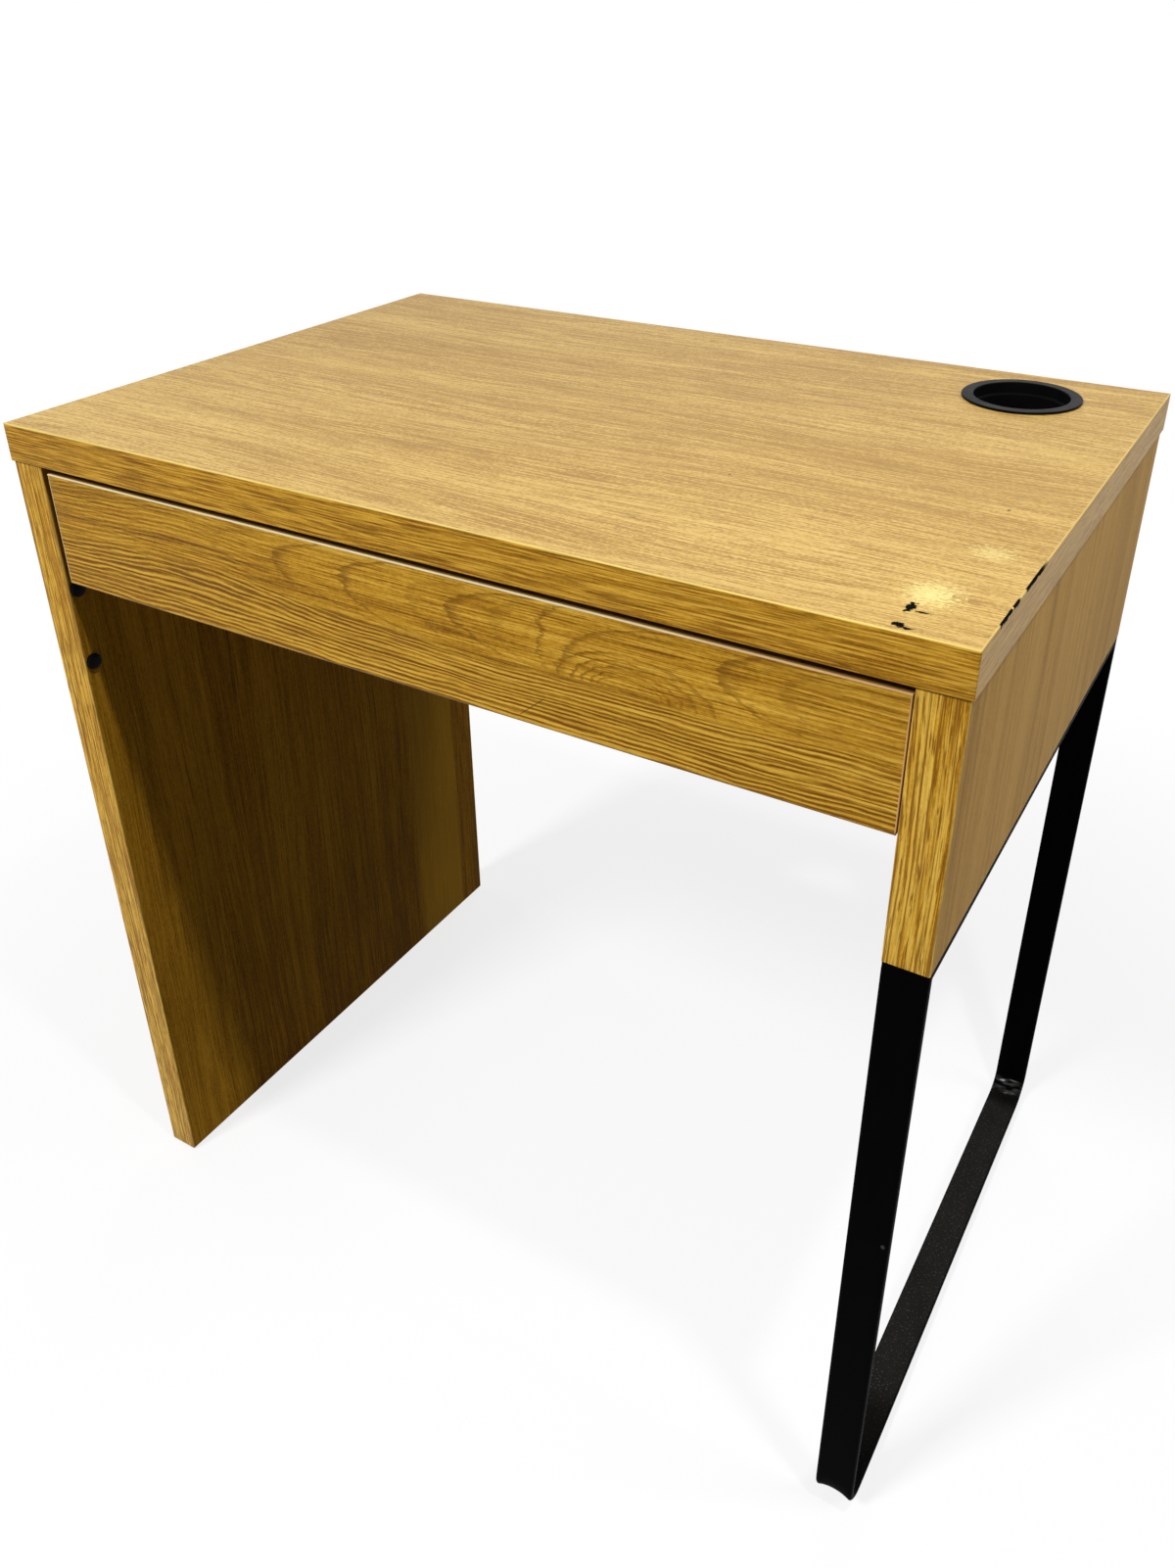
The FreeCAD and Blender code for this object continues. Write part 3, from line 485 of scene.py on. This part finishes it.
def powder_coat():
    """Black powder coat with a fine pebble: dusty low down, a painted highlight with glints in the rear
    bend, chipped in front.
    """
    rear_bend = (0.2345, 0.0170)
    front_chip = (0.3595, 0.3100)
    finish = Finish("black_powder_coat")
    x, y, z = finish.x, finish.y, finish.z
    pebble = finish.noise(x / 0.0007, y / 0.0007, z / 0.0007)
    cloud = finish.noise(x / 0.02, y / 0.05, z / 0.05, 3.0, 0.6)
    colour = finish.blend(cloud, paint(0.0008, 0.0008, 0.0008), paint(0.0018, 0.0017, 0.0016))
    # Dust on the run along the floor, less of it near the bends, with specks that crowd in one place
    normal = finish.node("ShaderNodeNewGeometry", {}, {}, "Normal")
    upward = finish.node("ShaderNodeSeparateXYZ", {}, {0: normal}, "Z")
    run = y.ramp(-0.170, -0.130) * y.ramp(0.222, 0.204)
    dust = upward.ramp(0.6, 0.98) * z.ramp(0.10, 0.02) * (0.50 + cloud * 0.30 + pebble * 0.2)
    dust = dust * (0.25 + run * 0.75)
    specks = finish.noise(x / 0.0016, y / 0.0016, z / 0.0016, 1.0).ramp(0.76, 0.95) * dust
    crowd = y.near(-0.142, 0.010)
    colour = finish.blend(dust, colour, paint(0.017, 0.016, 0.015))
    colour = finish.blend(specks * (0.5 + crowd * 0.5), colour, paint(0.085, 0.080, 0.074))
    # Painted highlight and glints on the creases of the rear bend, and the chip
    creased = finish.noise(x / 0.011, y / 0.005, z / 0.005, 1.0)
    bend_highlight = finish.from_point(y, z, rear_bend, (0.008, 0.008)).ramp(1.2, 0.3)
    colour = finish.blend(bend_highlight * creased.ramp(0.30, 0.9) * 0.7, colour, paint(0.060, 0.060, 0.058))
    colour = finish.blend(bend_highlight * creased.ramp(0.85, 1.0), colour, paint(0.36, 0.36, 0.35))
    chip = (finish.from_point(x, z, front_chip, (0.0018, 0.0024)) + pebble).ramp(1.3, 0.8)
    colour = finish.blend(chip * y.ramp(-0.2470, -0.2475), colour, paint(0.060, 0.058, 0.055))
    rough = 0.45 + cloud * 0.10 + dust * 0.4
    return finish.coat(colour, rough, finish.relief(pebble, 0.00004), 0.006)


def moulded_plastic(name, tone, rough, shine):
    """Black plastic with a spark-eroded skin and a faint haze."""
    finish = Finish(name)
    x, y, z = finish.x, finish.y, finish.z
    spark = finish.noise(x / 0.0006, y / 0.0006, z / 0.0006)
    haze = finish.noise(x / 0.02, y / 0.02, z / 0.02, 3.0)
    colour = finish.blend(haze, paint(tone * 0.7, tone * 0.7, tone * 0.7), paint(tone, tone, tone))
    return finish.coat(colour, rough + haze * 0.12, finish.relief(spark, 0.00003), shine)


def bright_metal(name, tone, rough, streak):
    """Plated or cast metal: faint lines of the given sizes along the three axes, and dull blotches."""
    finish = Finish(name)
    x, y, z = finish.x, finish.y, finish.z
    lines = finish.noise(x / streak[0], y / streak[1], z / streak[2], 3.0)
    blotch = finish.noise(x / 0.012, y / 0.012, z / 0.012)
    dull = paint(*[channel * 0.72 for channel in tone])
    colour = finish.blend(lines * 0.5 + blotch * 0.5, dull, paint(*tone))
    uneven = rough + blotch * 0.15 + lines * 0.08
    return finish.coat(colour, uneven, finish.relief(lines, 0.00002), 0.5, 1.0)


def finishes():
    """A finish for every node of the desk."""
    uprights = [upright_strip("oak_upright_edge_%d" % n, 20.0 + n) for n in range(2)]
    drawer_foil = board("oak_foil", "yzx", foil_oak, 31.0, rough=0.5)
    black = moulded_plastic("black_plastic", 0.0035, 0.26, 0.03)
    zinc = bright_metal("zinc_plate", (0.66, 0.66, 0.64), 0.28, (0.001, 0.06, 0.001))
    cast = bright_metal("cast_zinc", (0.52, 0.52, 0.52), 0.42, (0.002, 0.002, 0.002))
    beech = board("bare_beech", "zxy", bare_beech, 41.0, rough=0.6)
    carcase_oak = board("oak_back_panel", "xzy", side_oak, 15.0)
    return {
        "top_panel": worktop(),
        "top_front_edge": edge_strip("oak_top_front_edge", "xzy", strip_oak, 3.6, top_edge_rub_and_highlight),
        "top_rear_edge": edge_strip("oak_top_rear_edge", "xzy", strip_oak, 4.0, top_edge_rub_and_highlight),
        "top_left_edge": edge_strip("oak_top_left_edge", "yzx", side_oak, 5.0, top_edge_rub_and_highlight),
        "top_right_edge": edge_strip("oak_top_right_edge", "yzx", side_oak, 6.0, right_edge_rub_highlight_and_chips),
        "left_panel": left_board(),
        "left_panel_front_edge": uprights[0],
        "left_panel_rear_edge": uprights[0],
        # Right panel: lighter, greyer oak as painted sheen
        "right_panel": board("oak_right_panel", "zyx", right_oak_with_sheen, 8.0, (0.6, 0.4, 0.25, 0.35, 0.25),
                             shine=0.01),
        "right_panel_front_edge": uprights[1],
        "right_panel_rear_edge": uprights[1],
        "right_panel_bottom_edge": edge_strip("oak_right_bottom_edge", "yxz", side_oak, 9.0),
        "back_panel": carcase_oak,
        "cable_shelf": carcase_oak,
        "cable_shelf_edge": edge_strip("oak_shelf_edge", "xzy", strip_oak, 11.0),
        "drawer_front": drawer_face(),
        "drawer_front_edges": pale_band(),
        "drawer_left_side": drawer_foil,
        "drawer_right_side": drawer_foil,
        "drawer_back": board("oak_foil_across", "xzy", foil_oak, 32.0, rough=0.5),
        "drawer_bottom": board("oak_foil_bottom", "xyz", foil_oak, 33.0, rough=0.5),
        "cable_outlet": black,
        "hole_caps": black,
        "leg_glides": black,
        "panel_glides": black,
        "leg_loop": powder_coat(),
        "leg_screws": moulded_plastic("black_screw", 0.012, 0.3, 0.4),
        "left_slide": zinc,
        "right_slide": zinc,
        "drawer_left_slide": zinc,
        "drawer_right_slide": zinc,
        "slide_screws": zinc,
        "drawer_slide_screws": zinc,
        "drawer_back_screws": zinc,
        "cam_bolts": zinc,
        "drawer_cam_bolts": zinc,
        "leg_inserts": zinc,
        "cam_locks": cast,
        "drawer_cam_locks": cast,
        "dowels": beech,
        "drawer_dowels": beech,
    }


def dress(looks):
    """Give every node of the CAD its finish."""
    for name, material in looks.items():
        surface = nodes[name].data.materials
        surface.clear()
        surface.append(material)


# Fine pieces, modelled one by one

def millimetres(x, y, z):
    """A place in metres, from millimetres."""
    return Vector((x, y, z)) * 0.001


def only(piece):
    """Select one piece alone."""
    bpy.ops.object.select_all(action="DESELECT")
    piece.select_set(True)
    bpy.context.view_layer.objects.active = piece


def settle(piece):
    """Put a piece's place, turn and size into its mesh."""
    only(piece)
    bpy.ops.object.transform_apply(location=True, rotation=True, scale=True)


def pick(test):
    """In edit mode, select the points whose place passes a test."""
    data = bpy.context.object.data
    mesh = bmesh.from_edit_mesh(data)
    for point in mesh.verts:
        point.select_set(False)
    mesh.select_flush(False)
    for point in mesh.verts:
        if test(point.co):
            point.select_set(True)
    mesh.select_flush(True)
    bmesh.update_edit_mesh(data)


def finish_modifier(piece, kind, **settings):
    """Add a modifier to a piece and apply it."""
    only(piece)
    bpy.ops.object.modifier_add(type=kind)
    modifier = piece.modifiers[-1]
    for key, setting in settings.items():
        setattr(modifier, key, setting)
    bpy.ops.object.modifier_apply(modifier=modifier.name)


def close_up(piece, angle=35.0):
    """Merge doubled points, turn the faces outwards and shade them smooth."""
    only(piece)
    bpy.ops.object.mode_set(mode="EDIT")
    bpy.ops.mesh.select_all(action="SELECT")
    bpy.ops.mesh.remove_doubles(threshold=0.000001)
    bpy.ops.mesh.normals_make_consistent(inside=False)
    bpy.ops.object.mode_set(mode="OBJECT")
    bpy.ops.object.shade_smooth_by_angle(angle=math.radians(angle))


def turned(name, outline, sides, round_off, ring=False):
    """A piece turned about Z from radii and heights in millimetres; a ring's outline is closed."""
    bpy.ops.object.select_all(action="DESELECT")
    radius, height = outline[0]
    bpy.ops.mesh.primitive_circle_add(vertices=sides, radius=radius * 0.001,
                                      location=(0.0, 0.0, height * 0.001),
                                      fill_type="NOTHING" if ring else "NGON")
    piece = bpy.context.active_object
    piece.name = name
    settle(piece)
    bpy.ops.object.mode_set(mode="EDIT")
    bpy.ops.mesh.select_all(action="SELECT")
    for (radius, height), (next_radius, next_height) in zip(outline, outline[1:]):
        up = {"value": (0.0, 0.0, (next_height - height) * 0.001)}
        if ring:
            bpy.ops.mesh.extrude_edges_move(TRANSFORM_OT_translate=up)
        else:
            bpy.ops.mesh.extrude_region_move(TRANSFORM_OT_translate=up)
        share = next_radius / radius
        bpy.ops.transform.resize(value=(share, share, 1.0),
                                 center_override=(0.0, 0.0, next_height * 0.001))
    bpy.ops.object.mode_set(mode="OBJECT")
    close_up(piece)
    finish_modifier(piece, "BEVEL", width=round_off * 0.001, segments=3, limit_method="ANGLE",
                    angle_limit=math.radians(40.0))
    return piece


def recess(piece, cutters):
    """Sink some cutters into a piece."""
    for cutter in cutters:
        finish_modifier(piece, "BOOLEAN", object=cutter, operation="DIFFERENCE", solver="EXACT")
        bpy.data.objects.remove(cutter)


def cross_cutters(reach, width, low, high):
    """Two crossed wedges along Z, in millimetres, narrower at their lower end."""
    cutters = []
    for turn in (0.0, 90.0):
        bpy.ops.object.select_all(action="DESELECT")
        bpy.ops.mesh.primitive_cube_add(size=1.0, location=(0.0, 0.0, (low + high) * 0.0005))
        cutter = bpy.context.active_object
        cutter.scale = (reach * 0.002, width * 0.001, (high - low) * 0.001)
        cutter.rotation_euler = (0.0, 0.0, math.radians(turn))
        settle(cutter)
        bpy.ops.object.mode_set(mode="EDIT")
        pick(lambda point: point.z < (low + 0.01) * 0.001)
        bpy.ops.transform.resize(value=(0.45, 0.45, 1.0), center_override=(0.0, 0.0, low * 0.001))
        bpy.ops.object.mode_set(mode="OBJECT")
        cutters.append(cutter)
    return cutters


def join(pieces):
    """Join some pieces into the first of them."""
    bpy.ops.object.select_all(action="DESELECT")
    for piece in pieces:
        piece.select_set(True)
    bpy.context.view_layer.objects.active = pieces[0]
    bpy.ops.object.join()


def copies(piece, places):
    """Set copies of a piece at places in millimetres, their Z axes along directions, as one object."""
    made = []
    for place, way in places:
        copy = piece.copy()
        copy.data = piece.data.copy()
        bpy.context.scene.collection.objects.link(copy)
        copy.location = millimetres(*place)
        copy.rotation_mode = "QUATERNION"
        copy.rotation_quaternion = Vector(way).to_track_quat("Z", "Y")
        settle(copy)
        made.append(copy)
    name = piece.name
    bpy.data.objects.remove(piece)
    join(made)
    made[0].name = name
    return made[0]


def fit(piece, material, body, node, angle=35.0):
    """Dress a finished piece and put it on the desk in the place of a node."""
    close_up(piece, angle)
    piece.data.materials.clear()
    piece.data.materials.append(material)
    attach(piece, body)
    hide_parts(node)


def loop_leg(material):
    """Flat tube bent twice under a plate: one half is drawn, its bend is sunk, and it is mirrored."""
    low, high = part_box("leg_loop")
    middle = (low + high) * 0.5
    thickness, plate, corner, bend, lead, bead = 0.008, 0.005, 0.0022, 0.023, 0.014, 0.007
    press_depth, sink_depth, swell_height, wrinkle_height = 0.0024, 0.0030, 0.0010, 0.0007
    bend_steps, lead_steps, wall_cuts = 24, 5, 13
    outer_within, inner_beyond = 0.0070, 0.0072
    touch, same_ring, slack = 0.00001, 0.00005, 0.0001
    under_plate = high.z - plate
    centre = Vector((middle.x, high.y - bend, low.z + bend))
    # Section across the top of the rear upright
    bpy.ops.object.select_all(action="DESELECT")
    bpy.ops.mesh.primitive_plane_add(size=1.0, location=(middle.x, high.y - thickness / 2, under_plate))
    piece = bpy.context.active_object
    piece.name = "bent_leg"
    piece.scale = (high.x - low.x, thickness, 1.0)
    settle(piece)
    bpy.ops.object.mode_set(mode="EDIT")
    pick(lambda point: True)
    bpy.ops.mesh.bevel(offset=corner, segments=5, affect="VERTICES")
    for wall in (high.y, high.y - thickness):
        pick(lambda point: abs(point.y - wall) < touch)
        bpy.ops.mesh.subdivide(number_cuts=wall_cuts)
    bpy.ops.mesh.select_all(action="SELECT")
    bpy.ops.mesh.delete(type="ONLY_FACE")
    # Down the upright, through the bend and along the floor
    bpy.ops.mesh.select_all(action="SELECT")
    for drop in [under_plate - centre.z - lead] + [lead / lead_steps] * lead_steps:
        bpy.ops.mesh.extrude_edges_move(TRANSFORM_OT_translate={"value": (0.0, 0.0, -drop)})
    bpy.ops.mesh.spin(steps=bend_steps, angle=math.pi / 2, center=centre, axis=(1.0, 0.0, 0.0))
    for run in [lead / lead_steps] * lead_steps + [centre.y - lead - middle.y]:
        bpy.ops.mesh.extrude_edges_move(TRANSFORM_OT_translate={"value": (0.0, -run, 0.0)})
    # Rings of the bend and its leads: the angle in the bend, and how far past its ends a lead's ring lies
    half = bend * math.pi / 4
    rings = [(math.pi / 2 * step / bend_steps, 0.0) for step in range(bend_steps + 1)]
    for step in range(1, lead_steps):
        rings += [(0.0, -lead * step / lead_steps), (math.pi / 2, lead * step / lead_steps)]
    flat = (high.x - low.x) / 2 - corner
    spans = wall_cuts + 1
    columns = [flat * (1.0 - 2.0 * cut / spans) for cut in range(1, spans // 2 + 1)]
    for angle, past in rings:
        out = Vector((0.0, math.cos(angle), -math.sin(angle)))
        onward = Vector((0.0, -math.sin(angle), -math.cos(angle)))
        along = bend * (angle - math.pi / 4) + past
        sunk = math.cos(math.pi / 2 * along / (half + lead)) ** 2
        wrinkle = wrinkle_height * math.sin(6.0 * angle) ** 2

        def on_ring(point, nearest, farthest, reach):
            """True for a point of this ring between two distances from the bend's centre."""
            arm = point - centre
            return (abs(arm.dot(onward) - past) < same_ring and nearest < arm.dot(out) < farthest
                    and abs(point.x - middle.x) < reach)

        # The outer wall is pressed in and sinks between its lips; the inner wall swells and wrinkles
        pressed = press_depth * sunk * sunk
        pick(lambda point: on_ring(point, bend - corner - slack, 1.0, 1.0))
        bpy.ops.transform.translate(value=out * -pressed)
        deeper = 0.0
        swollen = 0.0
        for column in columns:
            share = 1.0 - (column / flat) ** 2
            dip = sink_depth * sunk * share
            pick(lambda point: on_ring(point, bend - outer_within, 1.0, column + slack))
            bpy.ops.transform.translate(value=out * (deeper - dip))
            deeper = dip
            swell = (swell_height * sunk + wrinkle) * share
            pick(lambda point: on_ring(point, 0.0, bend - inner_beyond, column + slack))
            bpy.ops.transform.translate(value=out * (swollen - swell))
            swollen = swell
    pick(lambda point: point.z > under_plate - touch)
    bpy.ops.mesh.edge_face_add()
    # Weld in the corner under the plate, hollow like a quarter round
    corner_place = Vector((middle.x, high.y - thickness - bead / 2, under_plate - bead / 2))
    bpy.ops.mesh.select_all(action="DESELECT")
    bpy.ops.mesh.primitive_cube_add(size=1.0, location=corner_place)
    bpy.ops.transform.resize(value=(flat * 2.0, bead, bead), center_override=corner_place)
    pick(lambda point: abs(point.x - middle.x) > flat - touch
         and point.y < high.y - thickness - bead * 0.9
         and under_plate - bead * 1.1 < point.z < under_plate - bead * 0.9)
    bpy.ops.mesh.bevel(offset=bead * 0.93, segments=8, profile=0.12, affect="EDGES")
    bpy.ops.object.mode_set(mode="OBJECT")
    # The front half, and the plate across both uprights
    bpy.context.scene.cursor.location = middle
    bpy.ops.object.origin_set(type="ORIGIN_CURSOR")
    bpy.context.scene.cursor.location = (0.0, 0.0, 0.0)
    finish_modifier(piece, "MIRROR", use_axis=(False, True, False), merge_threshold=0.00002)
    settle(piece)
    bpy.ops.object.select_all(action="DESELECT")
    bpy.ops.mesh.primitive_plane_add(size=1.0, location=(middle.x, middle.y, under_plate))
    top = bpy.context.active_object
    top.scale = (high.x - low.x, high.y - low.y, 1.0)
    settle(top)
    bpy.ops.object.mode_set(mode="EDIT")
    pick(lambda point: True)
    bpy.ops.mesh.bevel(offset=corner * 1.2, segments=5, affect="VERTICES")
    bpy.ops.mesh.select_all(action="SELECT")
    bpy.ops.mesh.extrude_region_move(TRANSFORM_OT_translate={"value": (0.0, 0.0, plate)})
    bpy.ops.object.mode_set(mode="OBJECT")
    join([piece, top])
    fit(piece, material, "carcase", "leg_loop", 50.0)


def small_fittings(plastic, screw_black, zinc, cast):
    """Turned and recessed fittings in the places of their nodes."""
    right, down, up, back = (1, 0, 0), (0, 0, -1), (0, 0, 1), (0, 1, 0)
    # Cable outlet: flange, mouth, ledge for a lid, bore and sleeve
    outline = [(45, 750), (45, 752), (36, 752), (36, 743), (34, 743), (34, 725), (39, 725), (39, 750),
               (45, 750)]
    outlet = turned("outlet_ring", outline, 128, 0.7, ring=True)
    outlet.location = millimetres(268, 182, 0)
    settle(outlet)
    fit(outlet, plastic, "carcase", "cable_outlet")
    # Caps with a domed face
    outline = [(3, -10), (3, 0), (6.5, 0), (6.5, 2.8), (5.6, 3.7), (4.0, 4.0)]
    cap = turned("domed_caps", outline, 48, 0.3)
    caps = copies(cap, [((-334.5, -240.5, z), right) for z in (619.0, 555.0)])
    fit(caps, plastic, "carcase", "hole_caps", 60.0)
    # Glides with a rounded foot
    for name, node, x, peg, shank in (("leg_feet", "leg_glides", 349.0, 8, 3),
                                      ("panel_feet", "panel_glides", -349.0, 17, 1.1)):
        outline = [(8.4, 0), (9.6, 0.5), (10, 1.5), (10, 3), (shank, 3), (shank, peg)]
        foot = turned(name, outline, 48, 0.3)
        feet = copies(foot, [((x, y, 0), up) for y in (-188.5, 188.0)])
        fit(feet, plastic, "carcase", node, 60.0)
    # Button-head screws of the leg, with a six-sided socket in the head
    outline = [(3, -24), (3, 0), (5.5, 0), (5.5, 1.2), (4.6, 2.4), (3.4, 3.0)]
    screw = turned("leg_button_screws", outline, 36, 0.2)
    bpy.ops.object.select_all(action="DESELECT")
    bpy.ops.mesh.primitive_cylinder_add(vertices=6, radius=0.0023, depth=0.004,
                                        location=(0.0, 0.0, 0.0032))
    socket = bpy.context.active_object
    settle(socket)
    recess(screw, [socket])
    screws = copies(screw, [((349.0, y, 536.0), down) for y in (-160.25, -0.25, 159.75)])
    fit(screws, screw_black, "carcase", "leg_screws", 40.0)
    # Cross-head screws: heads of one shape, shanks of the length that each node has
    for name, node, body, shank, length, spots in (
            ("carcase_slide_screws", "slide_screws", "carcase", 1.75, 9.0,
             [((side * 333.3, y, 660.0), (-side, 0, 0)) for side in (-1, 1) for y in (-176.0, 49.0)]),
            ("drawer_channel_screws", "drawer_slide_screws", "drawer", 1.75, 9.0,
             [((side * 323.2, y, 660.0), (side, 0, 0)) for side in (-1, 1) for y in (-176.0, 49.0)]),
            ("drawer_corner_screws", "drawer_back_screws", "drawer", 2.0, 36.0,
             [((side * 320.0, 90.0, z), (side, 0, 0)) for side in (-1, 1) for z in (650.0, 688.0)])):
        outline = [(shank * 0.4, -length), (shank, 2.5 - length), (shank, 0),
                   (3.6, 0), (3.5, 0.9), (2.4, 2.0)]
        screw = turned(name, outline, 24, 0.15)
        recess(screw, cross_cutters(1.9, 0.8, 0.7, 2.4))
        fit(copies(screw, spots), zinc, body, node, 40.0)
    # Cam locks with a cross recess, in the faces that the CAD gives them
    for name, node, body, depth, spots in (
            ("carcase_cams", "cam_locks", "carcase", 12.0,
             [((side * 334.5, y, 687.0), (-side, 0, 0)) for side in (-1, 1) for y in (-198.5, 198.0)]
             + [((side * 300.5, 124.0, 671.0), back) for side in (-1, 1)]
             + [((side * 300.5, 190.0, 541.0), down) for side in (-1, 1)]),
            ("drawer_cams", "drawer_cam_locks", "drawer", 10.0,
             [((side * 310.0, -198.0, 669.0), (-side, 0, 0)) for side in (-1, 1)])):
        cam = turned(name, [(7.3, -depth), (7.3, 0)], 48, 0.25)
        recess(cam, cross_cutters(4.6, 1.8, -2.0, 0.5))
        fit(copies(cam, spots), cast, body, node, 40.0)


# Stage, light and camera

def studio_world():
    """White to the camera, and a weak even light on the desk."""
    world = bpy.data.worlds.new("studio")
    bpy.context.scene.world = world
    tree = Tree(world)
    strength = 0.06 + tree.shown() * 0.94
    sky = tree.node("ShaderNodeBackground", {}, {"Color": paint(1.0, 1.0, 1.0), "Strength": strength})
    tree.node("ShaderNodeOutputWorld", {}, {"Surface": sky})


def studio_floor():
    """White floor that keeps a soft shadow near the desk and throws little light back."""
    bpy.ops.object.select_all(action="DESELECT")
    bpy.ops.mesh.primitive_plane_add(size=60.0, location=(0.0, 0.0, 0.0))
    floor = bpy.context.active_object
    floor.name = "studio_floor"
    material = bpy.data.materials.new("studio_floor")
    tree = Tree(material)
    place = tree.node("ShaderNodeTexCoord", {}, {}, "Object")
    away = tree.node("ShaderNodeVectorMath", {"operation": "LENGTH"}, {0: place}, "Value")
    plain = 0.78 + away.ramp(0.45, 1.3) * 0.22
    shaded = tree.node("ShaderNodeBsdfDiffuse", {}, {"Color": paint(0.9, 0.9, 0.9)})
    white = tree.node("ShaderNodeEmission", {}, {"Color": paint(1.0, 1.0, 1.0)})
    seen = tree.node("ShaderNodeMixShader", {}, {0: plain, 1: shaded, 2: white})
    grey = tree.node("ShaderNodeBsdfDiffuse", {}, {"Color": paint(0.15, 0.15, 0.15)})
    both = tree.node("ShaderNodeMixShader", {}, {0: tree.shown(), 1: grey, 2: seen})
    tree.node("ShaderNodeOutputMaterial", {}, {"Surface": both})
    floor.data.materials.append(material)


def lamp(name, place, aim, size, level):
    """Square soft light; a level of 1 shows a white surface that faces it at its aim as white."""
    towards = Vector(place) - Vector(aim)
    data = bpy.data.lights.new(name, "AREA")
    data.shape = "SQUARE"
    data.size = size
    data.energy = level * math.pi ** 2 * towards.length_squared
    light = bpy.data.objects.new(name, data)
    light.location = place
    light.rotation_mode = "QUATERNION"
    light.rotation_quaternion = towards.to_track_quat("Z", "Y")
    light.visible_glossy = False
    bpy.context.scene.collection.objects.link(light)


def studio_lights():
    """A small ceiling lamp, lamps in front and on the right, and weak ones behind and on the left."""
    lamp("ceiling", (0.75, -0.45, 2.30), (0.3, -0.20, 0.75), 0.09, 0.56)
    lamp("front", (-1.02, -2.81, 3.50), (0.1, -0.25, 0.65), 0.7, 0.90)
    lamp("right", (2.50, 0.35, 2.30), (0.36, 0.0, 0.65), 1.0, 0.42)
    lamp("rear", (-1.1, 3.2, 1.0), (0.0, 0.25, 0.5), 1.6, 0.32)
    lamp("left", (-3.3, 0.5, 1.0), (-0.36, 0.0, 0.5), 1.6, 0.28)


def photo_camera():
    """The camera that was fitted to the photograph."""
    azimuth, elevation, roll = [math.radians(a) for a in (camera_azimuth, camera_elevation, camera_roll)]
    back = Vector((math.sin(azimuth) * math.cos(elevation), -math.cos(azimuth) * math.cos(elevation),
                   math.sin(elevation)))
    right = Vector((0.0, 0.0, 1.0)).cross(back).normalized()
    up = back.cross(right)
    right_turned = right * math.cos(roll) + up * math.sin(roll)
    up_turned = up * math.cos(roll) - right * math.sin(roll)
    turn = Matrix((right_turned, up_turned, back)).transposed()
    data = bpy.data.cameras.new("photo_camera")
    data.sensor_width = sensor
    data.lens = focal_pixels / image_height * sensor
    data.shift_x = (image_width / 2 - optical_centre[0]) / image_height
    data.shift_y = (optical_centre[1] - image_height / 2) / image_height
    data.clip_start = 0.05
    data.clip_end = 100.0
    camera = bpy.data.objects.new("photo_camera", data)
    camera.matrix_world = Matrix.Translation(camera_place) @ turn.to_4x4()
    bpy.context.scene.collection.objects.link(camera)
    bpy.context.scene.camera = camera


looks = finishes()
dress(looks)
loop_leg(looks["leg_loop"])
small_fittings(looks["cable_outlet"], looks["leg_screws"], looks["slide_screws"], looks["cam_locks"])
studio_world()
studio_floor()
studio_lights()
photo_camera()
bpy.context.scene.view_settings.view_transform = "Standard"
